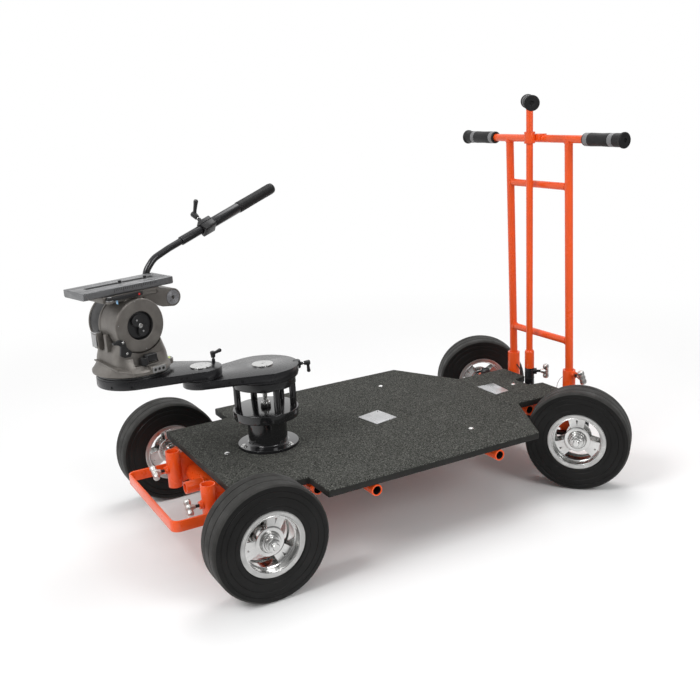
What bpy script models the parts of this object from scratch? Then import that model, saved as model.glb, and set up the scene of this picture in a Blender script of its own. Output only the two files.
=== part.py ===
"""Doorway dolly: a steerable four-wheel camera dolly with a carpeted deck, a push bar, a steering
column, a two-part offset arm on a turret, and a fluid head. Metres, +Z up.

The model is built on the floor plan: X = 0 is the centre line, Y = 0 is midway between the axles,
Z = 0 is the floor, the bumper is at -Y and the push bar at +Y. The last step moves the whole dolly
so that the origin lies on the floor under the middle of its outline.
"""

import math

import bmesh
import bpy
from mathutils import Matrix, Vector

# Clearance between pieces that touch or turn on each other
GAP = 0.0003

# Wheels
WHEEL_RADIUS = 0.130
TYRE_WIDTH = 0.078
TREAD_SHOULDER = 0.008
RIM_FLANGE_RADIUS = 0.0726
RIM_BARREL_RADIUS = 0.0655
RIM_WALL = 0.004
RIM_RECESS = 0.0023
WEB_INSET = 0.019
HUB_RADIUS = 0.0175
HUB_STANDOUT = 0.004
WINDOW_ANGLE = 68.0
AXLE_RADIUS = 0.0085
NUT_ACROSS_FLATS = 0.024
NUT_HEIGHT = 0.009
THREAD_STANDOUT = 0.009

# Plan of the chassis. What belongs to an axle moves with it when the wheelbase changes.
WHEELBASE = 0.961
FRONT_AXLE_Y = -WHEELBASE / 2
REAR_AXLE_Y = WHEELBASE / 2
FRONT_TRACK = 0.622
DECK_HEIGHT = 0.204
DECK_THICKNESS = 0.018
DECK_HALF_NOSE = 0.2354
DECK_HALF_WIDE = 0.3263
DECK_HALF_TAIL = 0.1319
DECK_FRONT_Y = FRONT_AXLE_Y - 0.0239
DECK_NOTCH_Y = FRONT_AXLE_Y + 0.1426
DECK_TAPER_Y = REAR_AXLE_Y - 0.2484
DECK_TAIL_Y = REAR_AXLE_Y - 0.1528
DECK_REAR_Y = REAR_AXLE_Y + 0.0108
COLUMN_NOTCH_HALF = 0.038
COLUMN_NOTCH_DEPTH = 0.0423

# Welded frame
AXLE_TUBE_RADIUS = 0.0225
AXLE_TUBE_BORE = 0.0185
AXLE_TUBE_HALF = 0.250
AXLE_PLUG_LENGTH = 0.030
TUBE_WALL = 0.003
CROSS_TUBE_RADIUS = 0.013
CROSS_TUBE_HALF = 0.3265
CROSS_TUBE_1_Y = -0.220
CROSS_TUBE_2_Y = 0.114
FRONT_OUTRIGGER_Y = FRONT_AXLE_Y + 0.1585
FRONT_OUTRIGGER_HALF = 0.245
REAR_OUTRIGGER_Y = REAR_AXLE_Y - 0.1085
REAR_OUTRIGGER_HALF = 0.126
SPINE_RADIUS = 0.0145
STUB_FRONT_Y = FRONT_AXLE_Y - 0.063
SOCKET_RADIUS = 0.017
SOCKET_BORE = 0.0145
FRONT_SOCKET_X = 0.119
FRONT_SOCKET_Y = FRONT_AXLE_Y - 0.0485
FRONT_SOCKET_TOP = 0.1945
FRONT_SOCKET_BOTTOM = 0.104
GUSSET_THICKNESS = 0.006
GUSSET_FOOT = 0.006
GUSSET_CORNER_REACH = 0.075
GUSSET_TIP_REACH = 0.100
GUSSET_TIP_DROP = 0.022
BOSS_RADIUS = 0.009
BOSS_HEIGHT = 0.007
SCREW_RADIUS = 0.004
BUMPER_HALF = 0.168
BUMPER_FRONT_Y = FRONT_AXLE_Y - 0.151
BUMPER_TOP = 0.148
BUMPER_HEIGHT = 0.025
BUMPER_THICKNESS = 0.006
BUMPER_CORNER = 0.020

# Steered rear end. Angles are about +Z and are the ones at rest, with the tiller hard over.
KINGPIN_X = 0.2063
KINGPIN_RADIUS = 0.009
STUB_LENGTH = 0.090
KNUCKLE_RADIUS = 0.018
KNUCKLE_HALF_HEIGHT = 0.033
YOKE_THICKNESS = 0.008
YOKE_RADIUS = 0.021
NEAR_WHEEL_TURN = -48.9
FAR_WHEEL_TURN = -27.0
TILLER_TURN = -38.0
BEAM_DEPTH = 0.036
BEAM_HALF = 0.180
COLUMN_Y = REAR_AXLE_Y - 0.004
PITMAN_HALF_SPREAD = 0.0245
PITMAN_REACH = 0.0758
KNUCKLE_ARM_INSET = 0.0154
KNUCKLE_ARM_REACH = 0.0813
LINK_THICKNESS = 0.007
LINK_EYE_RADIUS = 0.010
LINK_PIN_RADIUS = 0.004

# Steering column and tiller
COLUMN_RADIUS = 0.009
SLEEVE_RADIUS = 0.013
SLEEVE_BOTTOM = 0.2397
SLEEVE_TOP = 0.2917
CUP_BOTTOM = 0.166
CUP_SCREW_Z = 0.230
TILLER_HALF = 0.145
GRIP_LENGTH = 0.112
GRIP_RADIUS = 0.0165
GRIP_FLANGE_RADIUS = 0.021

# Push bar
POST_X = 0.1165
POST_RADIUS = 0.0106
POST_FOOT_Y = REAR_AXLE_Y + 0.0355
POST_TOP_Y = POST_FOOT_Y - 0.011
REAR_SOCKET_TOP = 0.2545
REAR_SOCKET_BOTTOM = 0.105
HANDLEBAR_HEIGHT = 0.8635
TILLER_RISE = 0.0935
TILLER_HEIGHT = HANDLEBAR_HEIGHT + TILLER_RISE
HANDLEBAR_HALF = 0.324
HANDLEBAR_RADIUS = 0.010
PUSH_GRIP_LENGTH = 0.152
UPPER_RUNG_HEIGHT = 0.744
LOWER_RUNG_HEIGHT = 0.333
RUNG_RADIUS = 0.0095
COLLAR_HEIGHT = 0.030

# Turret and offset arms
TURRET_Y = FRONT_AXLE_Y + 0.1545
TURRET_FLANGE_RADIUS = 0.0724
TURRET_FLANGE_THICKNESS = 0.007
TURRET_COLUMN_RADIUS = 0.0468
TURRET_COLUMN_HEIGHT = 0.065
RING_RADIUS = 0.0773
RING_THICKNESS = 0.021
CAGE_POST_RADIUS = 0.008
CAGE_POST_CIRCLE = 0.066
CAGE_POST_START = 1.0
CAGE_POST_STEP = 60.0
CAGE_POSTS = 5
CAGE_POST_HEIGHT = 0.0567
HOUSING_RADIUS = 0.0758
HOUSING_HEIGHT = 0.020
BEARING_RADIUS = 0.032
SPINDLE_RADIUS = 0.020
TIE_DOWN_KNOB_RADIUS = 0.0115
TIE_DOWN_RADIUS = 0.006
BEARING_FLOOR = 0.003
ARM_LENGTH = 0.150
ARM_THICKNESS = 0.019
LOWER_SPACER_HEIGHT = 0.008
LOWER_SPACER_RADIUS = 0.0825
UPPER_SPACER_HEIGHT = 0.0046
UPPER_SPACER_RADIUS = 0.0450
LOWER_ARM_BIG = 0.0843
UPPER_ARM_BIG = 0.0828
LOWER_ARM_SMALL = 0.0450
UPPER_ARM_SMALL = 0.0465
ARM_CAP_RADIUS = 0.025
ARM_CAP_HEIGHT = 0.003
PIVOT_RADIUS = 0.018
LOWER_LEVER_ANGLE = 167.0
LOWER_LEVER_SWING = -130.0
UPPER_LEVER_ANGLE = -133.0
UPPER_LEVER_SWING = 134.0
UPPER_LEVER_CIRCLE = 0.040
LOWER_ARM_TURN = -90.0
UPPER_ARM_TURN = -23.0
HEAD_TURN = 128.0

# Fluid head. Its own X is the tilt axis and its own Y points to the operator.
ADAPTER_RADIUS = 0.0816
ADAPTER_HEIGHT = 0.0045
HEAD_BASE_RADIUS = 0.080
HEAD_BASE_HEIGHT = 0.004
PAN_SPIGOT_HEIGHT = 0.012
HEAD_SKIRT_RADIUS = 0.0835
FRONT_PANEL_RADIUS = 0.0895
DRUM_RADIUS = 0.060
DRUM_NEAR = 0.052
DRUM_FAR = -0.068
TILT_RISE = 0.1097
KNOB_RADIUS = 0.031
CRADLE_DROP = 0.036
CRADLE_HALF = 0.0535
TILT_LEDGE_RISE = 0.039
PAN_LEDGE_RISE = 0.020
PAN_LEVER_RADIUS = 0.0095
BRAKE_PIN_LENGTH = 0.010
KNOB_RECESS = 0.012
DRAG_SHAFT_RADIUS = 0.006
PLATFORM_RISE = 0.061
PLATFORM_THICKNESS = 0.0135
PLATFORM_HALF = 0.040
PLATFORM_FRONT = -0.076
PLATFORM_BACK = 0.064
PLATE_THICKNESS = 0.0165
PLATE_HALF_WIDTH = 0.0425
PLATE_HALF_LENGTH = 0.110
PLATE_OFFSET = -0.0100
LOCK_OFFSET = 0.0070
LOCK_Y = -0.064
LOCK_DROP = 0.0095
ROSETTE_Y = 0.1037
ROSETTE_RISE = 0.0414
ROSETTE_RADIUS = 0.0165
EAR_RADIUS = 0.0203
EAR_HALF = 0.030
PAN_BAR_PLANE = 0.0615
PAN_BAR_RADIUS = 0.008
PAN_BAR_RISE = 0.0855
PAN_BAR_BEND_RADIUS = 0.045
PAN_BAR_LENGTH = 0.163
PAN_BAR_SLOPE = 16.3
EXTENSION_RADIUS = 0.0058
EXTENSION_LENGTH = 0.150
EXTENSION_INSERT = 0.060
EXTENSION_TRAVEL = 0.030
PAN_GRIP_LENGTH = 0.130
PAN_GRIP_RADIUS = 0.0125

ROUND = 22
TUBE_SIDES = 10
SMALL_SIDES = 8
WHEEL_SIDES = 20
POST_SIDES = 6
# A multiple of four, so that a corner of the spine points straight up at the cross tubes
SPINE_SIDES = 12

ORANGE = ("orange_paint", (0.80, 0.13, 0.02), 0.38, 0.0)
BLACK_METAL = ("black_anodised", (0.022, 0.022, 0.024), 0.32, 0.7)
BLACK_PLASTIC = ("black_plastic", (0.03, 0.03, 0.032), 0.55, 0.0)
HEAD_GREY = ("bronze_grey_alloy", (0.19, 0.175, 0.16), 0.42, 0.6)
PLATE_GREY = ("plate_grey_alloy", (0.20, 0.20, 0.21), 0.38, 0.7)
STEEL = ("zinc_plated_steel", (0.72, 0.72, 0.72), 0.22, 1.0)
CAST = ("cast_alloy", (0.62, 0.61, 0.60), 0.35, 1.0)
RUBBER = ("tyre_rubber", (0.02, 0.02, 0.019), 0.62, 0.0)
CARPET = ("speckled_carpet", (0.065, 0.067, 0.06), 0.95, 0.0)


def clear_scene():
    for obj in list(bpy.data.objects):
        bpy.data.objects.remove(obj)


def material(finish):
    """The Principled material of this finish, made once."""
    name, colour, roughness, metallic = finish
    if name in bpy.data.materials:
        return bpy.data.materials[name]
    made = bpy.data.materials.new(name)
    made.use_nodes = True
    shader = made.node_tree.nodes["Principled BSDF"]
    shader.inputs["Base Color"].default_value = (*colour, 1.0)
    shader.inputs["Roughness"].default_value = roughness
    shader.inputs["Metallic"].default_value = metallic
    made.diffuse_color = (*colour, 1.0)
    return made


def pivot(name, parent, place, turn=0.0):
    """An empty on a joint's axis, turned about +Z by this many degrees."""
    empty = bpy.data.objects.new(name, None)
    bpy.context.scene.collection.objects.link(empty)
    empty.parent = parent
    empty.location = place
    empty.rotation_euler = (0.0, 0.0, math.radians(turn))
    return empty


def add(name, bm, finish, parent):
    """Makes an object of this bmesh, closed, outward and shaded smooth up to 35 degrees."""
    bmesh.ops.remove_doubles(bm, verts=bm.verts, dist=1e-6)
    bmesh.ops.recalc_face_normals(bm, faces=bm.faces)
    mesh = bpy.data.meshes.new(name)
    bm.to_mesh(mesh)
    bm.free()
    mesh.shade_smooth()
    mesh.set_sharp_from_angle(angle=math.radians(35))
    obj = bpy.data.objects.new(name, mesh)
    mesh.materials.append(material(finish))
    bpy.context.scene.collection.objects.link(obj)
    obj.parent = parent
    return obj


def helper(obj):
    obj.hide_render = True
    obj.display_type = "WIRE"
    return obj


def boolean(obj, other, operation, solver):
    modifier = obj.modifiers.new(operation.lower() + "_" + other.name, "BOOLEAN")
    modifier.operation = operation
    modifier.object = helper(other)
    modifier.solver = solver


def fuse(obj, *others, solver="EXACT"):
    for other in others:
        boolean(obj, other, "UNION", solver)
    return obj


def cut(obj, *cutters, solver="EXACT"):
    for cutter in cutters:
        boolean(obj, cutter, "DIFFERENCE", solver)
    return obj


AXES = {
    "Z": Matrix.Identity(4),
    "X": Matrix.Rotation(math.radians(90), 4, "Y"),
    "Y": Matrix.Rotation(math.radians(-90), 4, "X"),
}


def turned(name, profile, finish, parent, axis="Z", place=(0, 0, 0), sides=ROUND):
    """A closed profile of (radius, height) points, spun about the axis through place."""
    bm = bmesh.new()
    ring = [bm.verts.new((radius, 0.0, height)) for radius, height in profile]
    for first, second in zip(ring, ring[1:] + ring[:1]):
        if first.co.x > 1e-7 or second.co.x > 1e-7:
            bm.edges.new((first, second))
    bmesh.ops.spin(
        bm,
        geom=bm.verts[:] + bm.edges[:],
        cent=(0, 0, 0),
        axis=(0, 0, 1),
        dvec=(0, 0, 0),
        angle=2 * math.pi,
        steps=sides,
        use_merge=True,
        use_duplicate=False,
    )
    bmesh.ops.transform(bm, matrix=Matrix.Translation(place) @ AXES[axis], verts=bm.verts)
    return add(name, bm, finish, parent)


def clear_of(radius, sides=TUBE_SIDES):
    """The radius of a bore with this many sides that clears a round pin turned to any angle."""
    return radius / math.cos(math.pi / sides) + GAP


def rod(name, radius, low, high, finish, parent, axis="Z", place=(0, 0, 0), sides=TUBE_SIDES):
    return turned(
        name,
        [(0.0, low), (radius, low), (radius, high), (0.0, high)],
        finish,
        parent,
        axis,
        place,
        sides,
    )


def tube(name, radius, bore, low, high, finish, parent, axis="Z", place=(0, 0, 0), sides=TUBE_SIDES):
    return turned(
        name,
        [(bore, low), (radius, low), (radius, high), (bore, high)],
        finish,
        parent,
        axis,
        place,
        sides,
    )


def prism(name, outline, low, high, finish, parent, axis="Z", place=(0, 0, 0)):
    """A flat outline of (x, y) points pushed from low to high along the axis."""
    bm = bmesh.new()
    face = bm.faces.new([bm.verts.new((x, y, low)) for x, y in outline])
    pushed = bmesh.ops.extrude_face_region(bm, geom=[face])
    top = [item for item in pushed["geom"] if isinstance(item, bmesh.types.BMVert)]
    bmesh.ops.translate(bm, vec=(0, 0, high - low), verts=top)
    bmesh.ops.transform(bm, matrix=Matrix.Translation(place) @ AXES[axis], verts=bm.verts)
    return add(name, bm, finish, parent)


def block(name, low, high, finish, parent, bevel=0.0):
    """A box between two corners, with its edges rounded off where bevel is given."""
    bm = bmesh.new()
    bmesh.ops.create_cube(bm, size=1.0)
    size = [b - a for a, b in zip(low, high)]
    middle = [(a + b) / 2 for a, b in zip(low, high)]
    bmesh.ops.scale(bm, vec=size, verts=bm.verts)
    bmesh.ops.translate(bm, vec=middle, verts=bm.verts)
    if bevel:
        bmesh.ops.bevel(
            bm, geom=bm.edges[:], offset=bevel, segments=1, profile=0.5, affect="EDGES", material=-1
        )
    return add(name, bm, finish, parent)


def arc(centre, radius, start, end, steps):
    """Points on an arc, from start to end degrees."""
    return [
        (
            centre[0] + radius * math.cos(math.radians(start + (end - start) * i / steps)),
            centre[1] + radius * math.sin(math.radians(start + (end - start) * i / steps)),
        )
        for i in range(steps + 1)
    ]


def teardrop(big, small, length, steps=8):
    """Two circles a length apart along +X and the straight sides that touch both."""
    lean = math.degrees(math.acos((big - small) / length))
    return arc((0, 0), big, lean, 360 - lean, 2 * steps) + arc(
        (length, 0), small, -lean, lean, steps
    )


def bent_tube(name, points, radius, finish, parent, sides=2):
    """A round bar along a line of points, with capped ends."""
    curve = bpy.data.curves.new(name + "_path", "CURVE")
    curve.dimensions = "3D"
    curve.bevel_depth = radius
    curve.bevel_resolution = sides
    curve.use_fill_caps = True
    spline = curve.splines.new("POLY")
    spline.points.add(len(points) - 1)
    for target, point in zip(spline.points, points):
        target.co = (*point, 1.0)
    guide = bpy.data.objects.new(name + "_guide", curve)
    bpy.context.scene.collection.objects.link(guide)
    mesh = guide.to_mesh()
    bm = bmesh.new()
    bm.from_mesh(mesh)
    guide.to_mesh_clear()
    bpy.data.objects.remove(guide)
    bpy.data.curves.remove(curve)
    return add(name, bm, finish, parent)


def hexagon(across):
    radius = across / 2 / math.cos(math.radians(30))
    return arc((0, 0), radius, 0, 300, 5)


def make_tyre(name, parent):
    """A slick tyre: a flat tread between rounded shoulders, and sidewalls that swell a little."""
    half = TYRE_WIDTH / 2
    bead = half - RIM_RECESS - RIM_WALL + GAP
    seat = RIM_BARREL_RADIUS + GAP
    depth = WHEEL_RADIUS - RIM_FLANGE_RADIUS
    side = [
        (seat, bead - 2 * GAP),
        (RIM_FLANGE_RADIUS + 2 * GAP, half - RIM_RECESS - 0.0005),
        (RIM_FLANGE_RADIUS + 0.30 * depth, half),
        (WHEEL_RADIUS - TREAD_SHOULDER, half - 0.001),
        (WHEEL_RADIUS, half - TREAD_SHOULDER),
    ]
    profile = side + [(radius, -x) for radius, x in reversed(side)]
    return turned(name, profile, RUBBER, parent, "X", sides=WHEEL_SIDES)


def make_rim(name, parent):
    """A pressed steel wheel: a barrel with a lip each side, two dished webs with three windows
    cut through both, and a hub tube that runs on the axle."""
    lip = TYRE_WIDTH / 2 - RIM_RECESS
    web = lip - WEB_INSET
    dish = web + 0.004
    hub = lip - HUB_STANDOUT
    bore = clear_of(AXLE_RADIUS, WHEEL_SIDES)
    side = [
        (bore, hub),
        (HUB_RADIUS, hub),
        (HUB_RADIUS, dish),
        (RIM_BARREL_RADIUS - RIM_WALL, web),
        (RIM_BARREL_RADIUS, lip),
        (RIM_FLANGE_RADIUS, lip),
        (RIM_BARREL_RADIUS, lip - RIM_WALL),
    ]
    profile = side + [(radius, -x) for radius, x in reversed(side)]
    rim = turned(name, profile, STEEL, parent, "X", sides=WHEEL_SIDES)
    hollow = tube(
        name + "_hollow",
        RIM_BARREL_RADIUS - RIM_WALL,
        HUB_RADIUS + RIM_WALL,
        RIM_WALL - web,
        web - RIM_WALL,
        STEEL,
        parent,
        "X",
        sides=SMALL_SIDES,
    )
    inner = HUB_RADIUS + 0.011
    outer = RIM_BARREL_RADIUS - RIM_WALL - 0.006
    windows = []
    for i in range(3):
        middle = -90 + 120 * i
        spread = WINDOW_ANGLE / 2
        outline = arc((0, 0), outer, middle - spread, middle + spread, 2) + arc(
            (0, 0), inner, middle + 0.6 * spread, middle - 0.6 * spread, 1
        )
        windows.append(prism(f"{name}_window_{i}", outline, -lip, lip, STEEL, parent, "X"))
    return cut(rim, hollow, *windows)


def make_wheel(name, parent, place):
    """A tyre and its rim on a pivot at the wheel's centre, whose X is the axle."""
    centre = pivot(name + "_axis", parent, place)
    make_tyre(name + "_tyre", centre)
    make_rim(name + "_rim", centre)
    return centre


def axle_profile(shaft_start, shoulder_end, wheel_centre):
    """A stub axle along its own length: a shoulder up to the hub, the shaft, a nut and the thread."""
    hub = TYRE_WIDTH / 2 - RIM_RECESS - HUB_STANDOUT
    nut = wheel_centre + hub + GAP
    washer = NUT_ACROSS_FLATS / 2 + 0.002
    return [
        (0.0, shaft_start),
        (AXLE_RADIUS + 0.006, shaft_start),
        (AXLE_RADIUS + 0.006, shoulder_end),
        (AXLE_RADIUS, shoulder_end),
        (AXLE_RADIUS, nut),
        (washer, nut),
        (washer, nut + 0.002),
        (0.0, nut + 0.002),
    ]


def front_axle_profile(shoulder_end, wheel_centre):
    """The same, with the plug that fills the end of the front tube in place of its root."""
    plug = AXLE_TUBE_BORE - GAP
    bolt = axle_profile(AXLE_TUBE_HALF, shoulder_end, wheel_centre)[2:]
    shoulder = (bolt[0][0], AXLE_TUBE_HALF)
    root = AXLE_TUBE_HALF - AXLE_PLUG_LENGTH
    return [(0.0, root), (plug, root), (plug, AXLE_TUBE_HALF), shoulder] + bolt


def axle_end(name, wheel_centre, parent, place=(0, 0, 0)):
    """The hex nut and the thread that stands out of it."""
    hub = TYRE_WIDTH / 2 - RIM_RECESS - HUB_STANDOUT
    start = wheel_centre + hub + 0.0015
    nut = prism(
        name + "_nut", hexagon(NUT_ACROSS_FLATS), start, start + NUT_HEIGHT, STEEL, parent, "X", place
    )
    thread = rod(
        name + "_thread",
        AXLE_RADIUS - 0.001,
        start,
        start + NUT_HEIGHT + THREAD_STANDOUT,
        STEEL,
        parent,
        "X",
        place,
        SMALL_SIDES,
    )
    return nut, thread


def make_front_axle(root):
    """The tube across the front, with the open stub welded to its face, and the two axle bolts."""
    y = FRONT_AXLE_Y
    z = WHEEL_RADIUS
    spine_z = spine_height()
    beam = tube(
        "front_axle_beam",
        AXLE_TUBE_RADIUS,
        AXLE_TUBE_BORE,
        -AXLE_TUBE_HALF,
        AXLE_TUBE_HALF,
        ORANGE,
        root,
        "X",
        (0, y, z),
    )
    stub = rod(
        "front_stub", SPINE_RADIUS, STUB_FRONT_Y, y, ORANGE, root, "Y", (0, 0, spine_z), TUBE_SIDES
    )
    stub_bore = rod(
        "front_stub_bore",
        SPINE_RADIUS - TUBE_WALL,
        STUB_FRONT_Y - TUBE_WALL,
        y - 0.6 * AXLE_TUBE_RADIUS,
        ORANGE,
        root,
        "Y",
        (0, 0, spine_z),
        TUBE_SIDES,
    )
    fuse(beam, stub)
    cut(beam, stub_bore)
    for side, sign in (("near", 1), ("far", -1)):
        holder = pivot(f"front_{side}_hub", root, (0, y, z), 0 if sign > 0 else 180)
        half_track = FRONT_TRACK / 2
        hub = TYRE_WIDTH / 2 - RIM_RECESS - HUB_STANDOUT
        bolt = turned(
            f"front_axle_{side}",
            front_axle_profile(half_track - hub - GAP, half_track),
            STEEL,
            holder,
            "X",
            sides=TUBE_SIDES,
        )
        fuse(bolt, *axle_end(f"front_axle_{side}", half_track, holder))
        make_wheel(f"front_wheel_{side}", holder, (half_track, 0, 0))


def spine_height():
    """The spine runs right under the cross tubes, which run right under the deck."""
    return cross_height() - CROSS_TUBE_RADIUS - GAP - SPINE_RADIUS


def cross_height():
    return DECK_HEIGHT - DECK_THICKNESS - GAP - CROSS_TUBE_RADIUS


def make_frame(root):
    """Spine, cross tubes and outriggers, the front sockets with their gussets, and the bumper."""
    front = FRONT_AXLE_Y
    back = REAR_AXLE_Y - BEAM_DEPTH / 2 - GAP
    z = spine_height()
    spine = tube(
        "spine_tube",
        SPINE_RADIUS,
        SPINE_RADIUS - TUBE_WALL,
        front,
        back,
        ORANGE,
        root,
        "Y",
        (0, 0, z),
        SPINE_SIDES,
    )
    cope = rod(
        "spine_cope",
        AXLE_TUBE_RADIUS + GAP,
        -3 * SPINE_RADIUS,
        3 * SPINE_RADIUS,
        ORANGE,
        root,
        "X",
        (0, front, WHEEL_RADIUS),
    )
    cut(spine, cope)
    cross = [
        ("cross_tube_1", CROSS_TUBE_1_Y, CROSS_TUBE_HALF),
        ("cross_tube_2", CROSS_TUBE_2_Y, CROSS_TUBE_HALF),
        ("front_outrigger", FRONT_OUTRIGGER_Y, FRONT_OUTRIGGER_HALF),
        ("rear_outrigger", REAR_OUTRIGGER_Y, REAR_OUTRIGGER_HALF),
    ]
    for name, y, half in cross:
        tube(
            name,
            CROSS_TUBE_RADIUS,
            CROSS_TUBE_RADIUS - TUBE_WALL,
            -half,
            half,
            ORANGE,
            root,
            "X",
            (0, y, cross_height()),
        )
    for side, sign in (("near", 1), ("far", -1)):
        make_front_socket(root, side, sign)
    make_bumper(root)


def make_front_socket(root, side, sign):
    """An upright socket tube, its clamp boss in front, and the gusset that ties it to the axle."""
    x = sign * FRONT_SOCKET_X
    y = FRONT_SOCKET_Y
    axle_y = FRONT_AXLE_Y
    boss_face = y - SOCKET_RADIUS - BOSS_HEIGHT
    top = DECK_HEIGHT - DECK_THICKNESS - GAP
    boss_z = (FRONT_SOCKET_TOP + FRONT_SOCKET_BOTTOM) / 2
    socket = rod(
        f"front_socket_{side}",
        SOCKET_RADIUS,
        FRONT_SOCKET_BOTTOM,
        FRONT_SOCKET_TOP,
        ORANGE,
        root,
        "Z",
        (x, y, 0),
    )
    boss = rod(
        f"front_boss_{side}", BOSS_RADIUS, boss_face, y, ORANGE, root, "Y", (x, 0, boss_z), SMALL_SIDES
    )
    bore = rod(
        f"front_bore_{side}",
        SOCKET_BORE,
        FRONT_SOCKET_BOTTOM - 0.01,
        FRONT_SOCKET_TOP + 0.01,
        ORANGE,
        root,
        "Z",
        (x, y, 0),
    )
    # The outline's first value is -Z of the turned plane, so the plate stands along Y.
    start = y + (SOCKET_BORE + SOCKET_RADIUS) / 2
    gusset_outline = [
        (start, FRONT_SOCKET_BOTTOM + GUSSET_FOOT),
        (axle_y, WHEEL_RADIUS - 0.6 * AXLE_TUBE_RADIUS),
        (axle_y + GUSSET_CORNER_REACH, top - GUSSET_TIP_DROP),
        (axle_y + GUSSET_TIP_REACH, top),
        (start, top),
    ]
    gusset = prism(
        f"front_gusset_{side}",
        [(-height, across) for across, height in gusset_outline],
        x - GUSSET_THICKNESS / 2,
        x + GUSSET_THICKNESS / 2,
        ORANGE,
        root,
        "X",
    )
    cope = rod(
        f"front_cope_{side}",
        AXLE_TUBE_RADIUS + GAP,
        x - 0.03,
        x + 0.03,
        ORANGE,
        root,
        "X",
        (0, axle_y, WHEEL_RADIUS),
    )
    screw_hole = rod(
        f"front_screw_hole_{side}",
        clear_of(SCREW_RADIUS, SMALL_SIDES),
        boss_face - 0.01,
        y,
        ORANGE,
        root,
        "Y",
        (x, 0, boss_z),
        SMALL_SIDES,
    )
    # The exact solver leaves small holes in the wall where the boss, bore and screw hole meet.
    fuse(socket, boss, solver="MANIFOLD")
    cut(socket, bore, solver="MANIFOLD")
    fuse(socket, gusset, solver="MANIFOLD")
    cut(socket, cope, screw_hole, solver="MANIFOLD")
    holder = pivot(f"front_clamp_{side}_axis", root, (x, boss_face, boss_z), -90)
    make_clamp_screw(f"front_clamp_screw_{side}", holder, 0.024, 35 * sign)


def make_clamp_screw(name, holder, reach, roll, bar_half=0.0215):
    """A T-handled clamp screw along its own X, which starts at the boss's face."""
    shank = rod(name, SCREW_RADIUS, -0.009, reach, CAST, holder, "X", sides=SMALL_SIDES)
    neck = turned(
        name + "_neck",
        [(0.0, reach - 0.008), (0.0055, reach - 0.008), (0.0075, reach), (0.0, reach + 0.002)],
        CAST,
        holder,
        "X",
        sides=SMALL_SIDES,
    )
    bar = turned(
        name + "_bar",
        [
            (0.0, -bar_half),
            (0.0070, -bar_half),
            (0.0052, -bar_half / 2),
            (0.0068, 0.0),
            (0.0052, bar_half / 2),
            (0.0070, bar_half),
            (0.0, bar_half),
        ],
        CAST,
        holder,
        "Z",
        sides=6,
    )
    bar.location = (reach, 0, 0)
    bar.rotation_euler = (math.radians(roll), 0, 0)
    return fuse(shank, neck, bar)


def make_bumper(root):
    """A flat bar bent to a U, with its two arms welded to the axle tube."""
    outer = BUMPER_HALF
    inner = BUMPER_HALF - BUMPER_THICKNESS
    back = FRONT_AXLE_Y
    front = BUMPER_FRONT_Y
    turn = BUMPER_CORNER
    small = BUMPER_CORNER - BUMPER_THICKNESS
    outline = [(-outer, back)]
    outline += arc((-outer + turn, front + turn), turn, 180, 270, 4)
    outline += arc((outer - turn, front + turn), turn, 270, 360, 4)
    outline += [(outer, back), (inner, back)]
    outline += arc((outer - turn, front + turn), small, 360, 270, 4)
    outline += arc((-outer + turn, front + turn), small, 270, 180, 4)
    outline += [(-inner, back)]
    bumper = prism("bumper", outline, BUMPER_TOP - BUMPER_HEIGHT, BUMPER_TOP, ORANGE, root)
    cope = rod(
        "bumper_cope",
        AXLE_TUBE_RADIUS + GAP,
        -2 * outer,
        2 * outer,
        ORANGE,
        root,
        "X",
        (0, back, WHEEL_RADIUS),
    )
    cut(bumper, cope)


def make_deck(root):
    """Carpeted plywood: a nose between the front wheels, wide wings, and a tail between the
    steered wheels with a notch for the steering column."""
    half = [
        (DECK_HALF_NOSE, DECK_FRONT_Y),
        (DECK_HALF_NOSE, DECK_NOTCH_Y),
        (DECK_HALF_WIDE, DECK_NOTCH_Y),
        (DECK_HALF_WIDE, DECK_TAPER_Y),
        (DECK_HALF_TAIL, DECK_TAIL_Y),
        (DECK_HALF_TAIL, DECK_REAR_Y),
        (COLUMN_NOTCH_HALF, DECK_REAR_Y),
        (COLUMN_NOTCH_HALF - 0.008, DECK_REAR_Y - COLUMN_NOTCH_DEPTH),
    ]
    outline = half + [(-x, y) for x, y in reversed(half)]
    deck = prism("deck", outline, DECK_HEIGHT - DECK_THICKNESS, DECK_HEIGHT, CARPET, root)
    bevel = deck.modifiers.new("rounded_edges", "BEVEL")
    bevel.width = 0.0015
    bevel.segments = 1
    bevel.limit_method = "ANGLE"
    return deck


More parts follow.
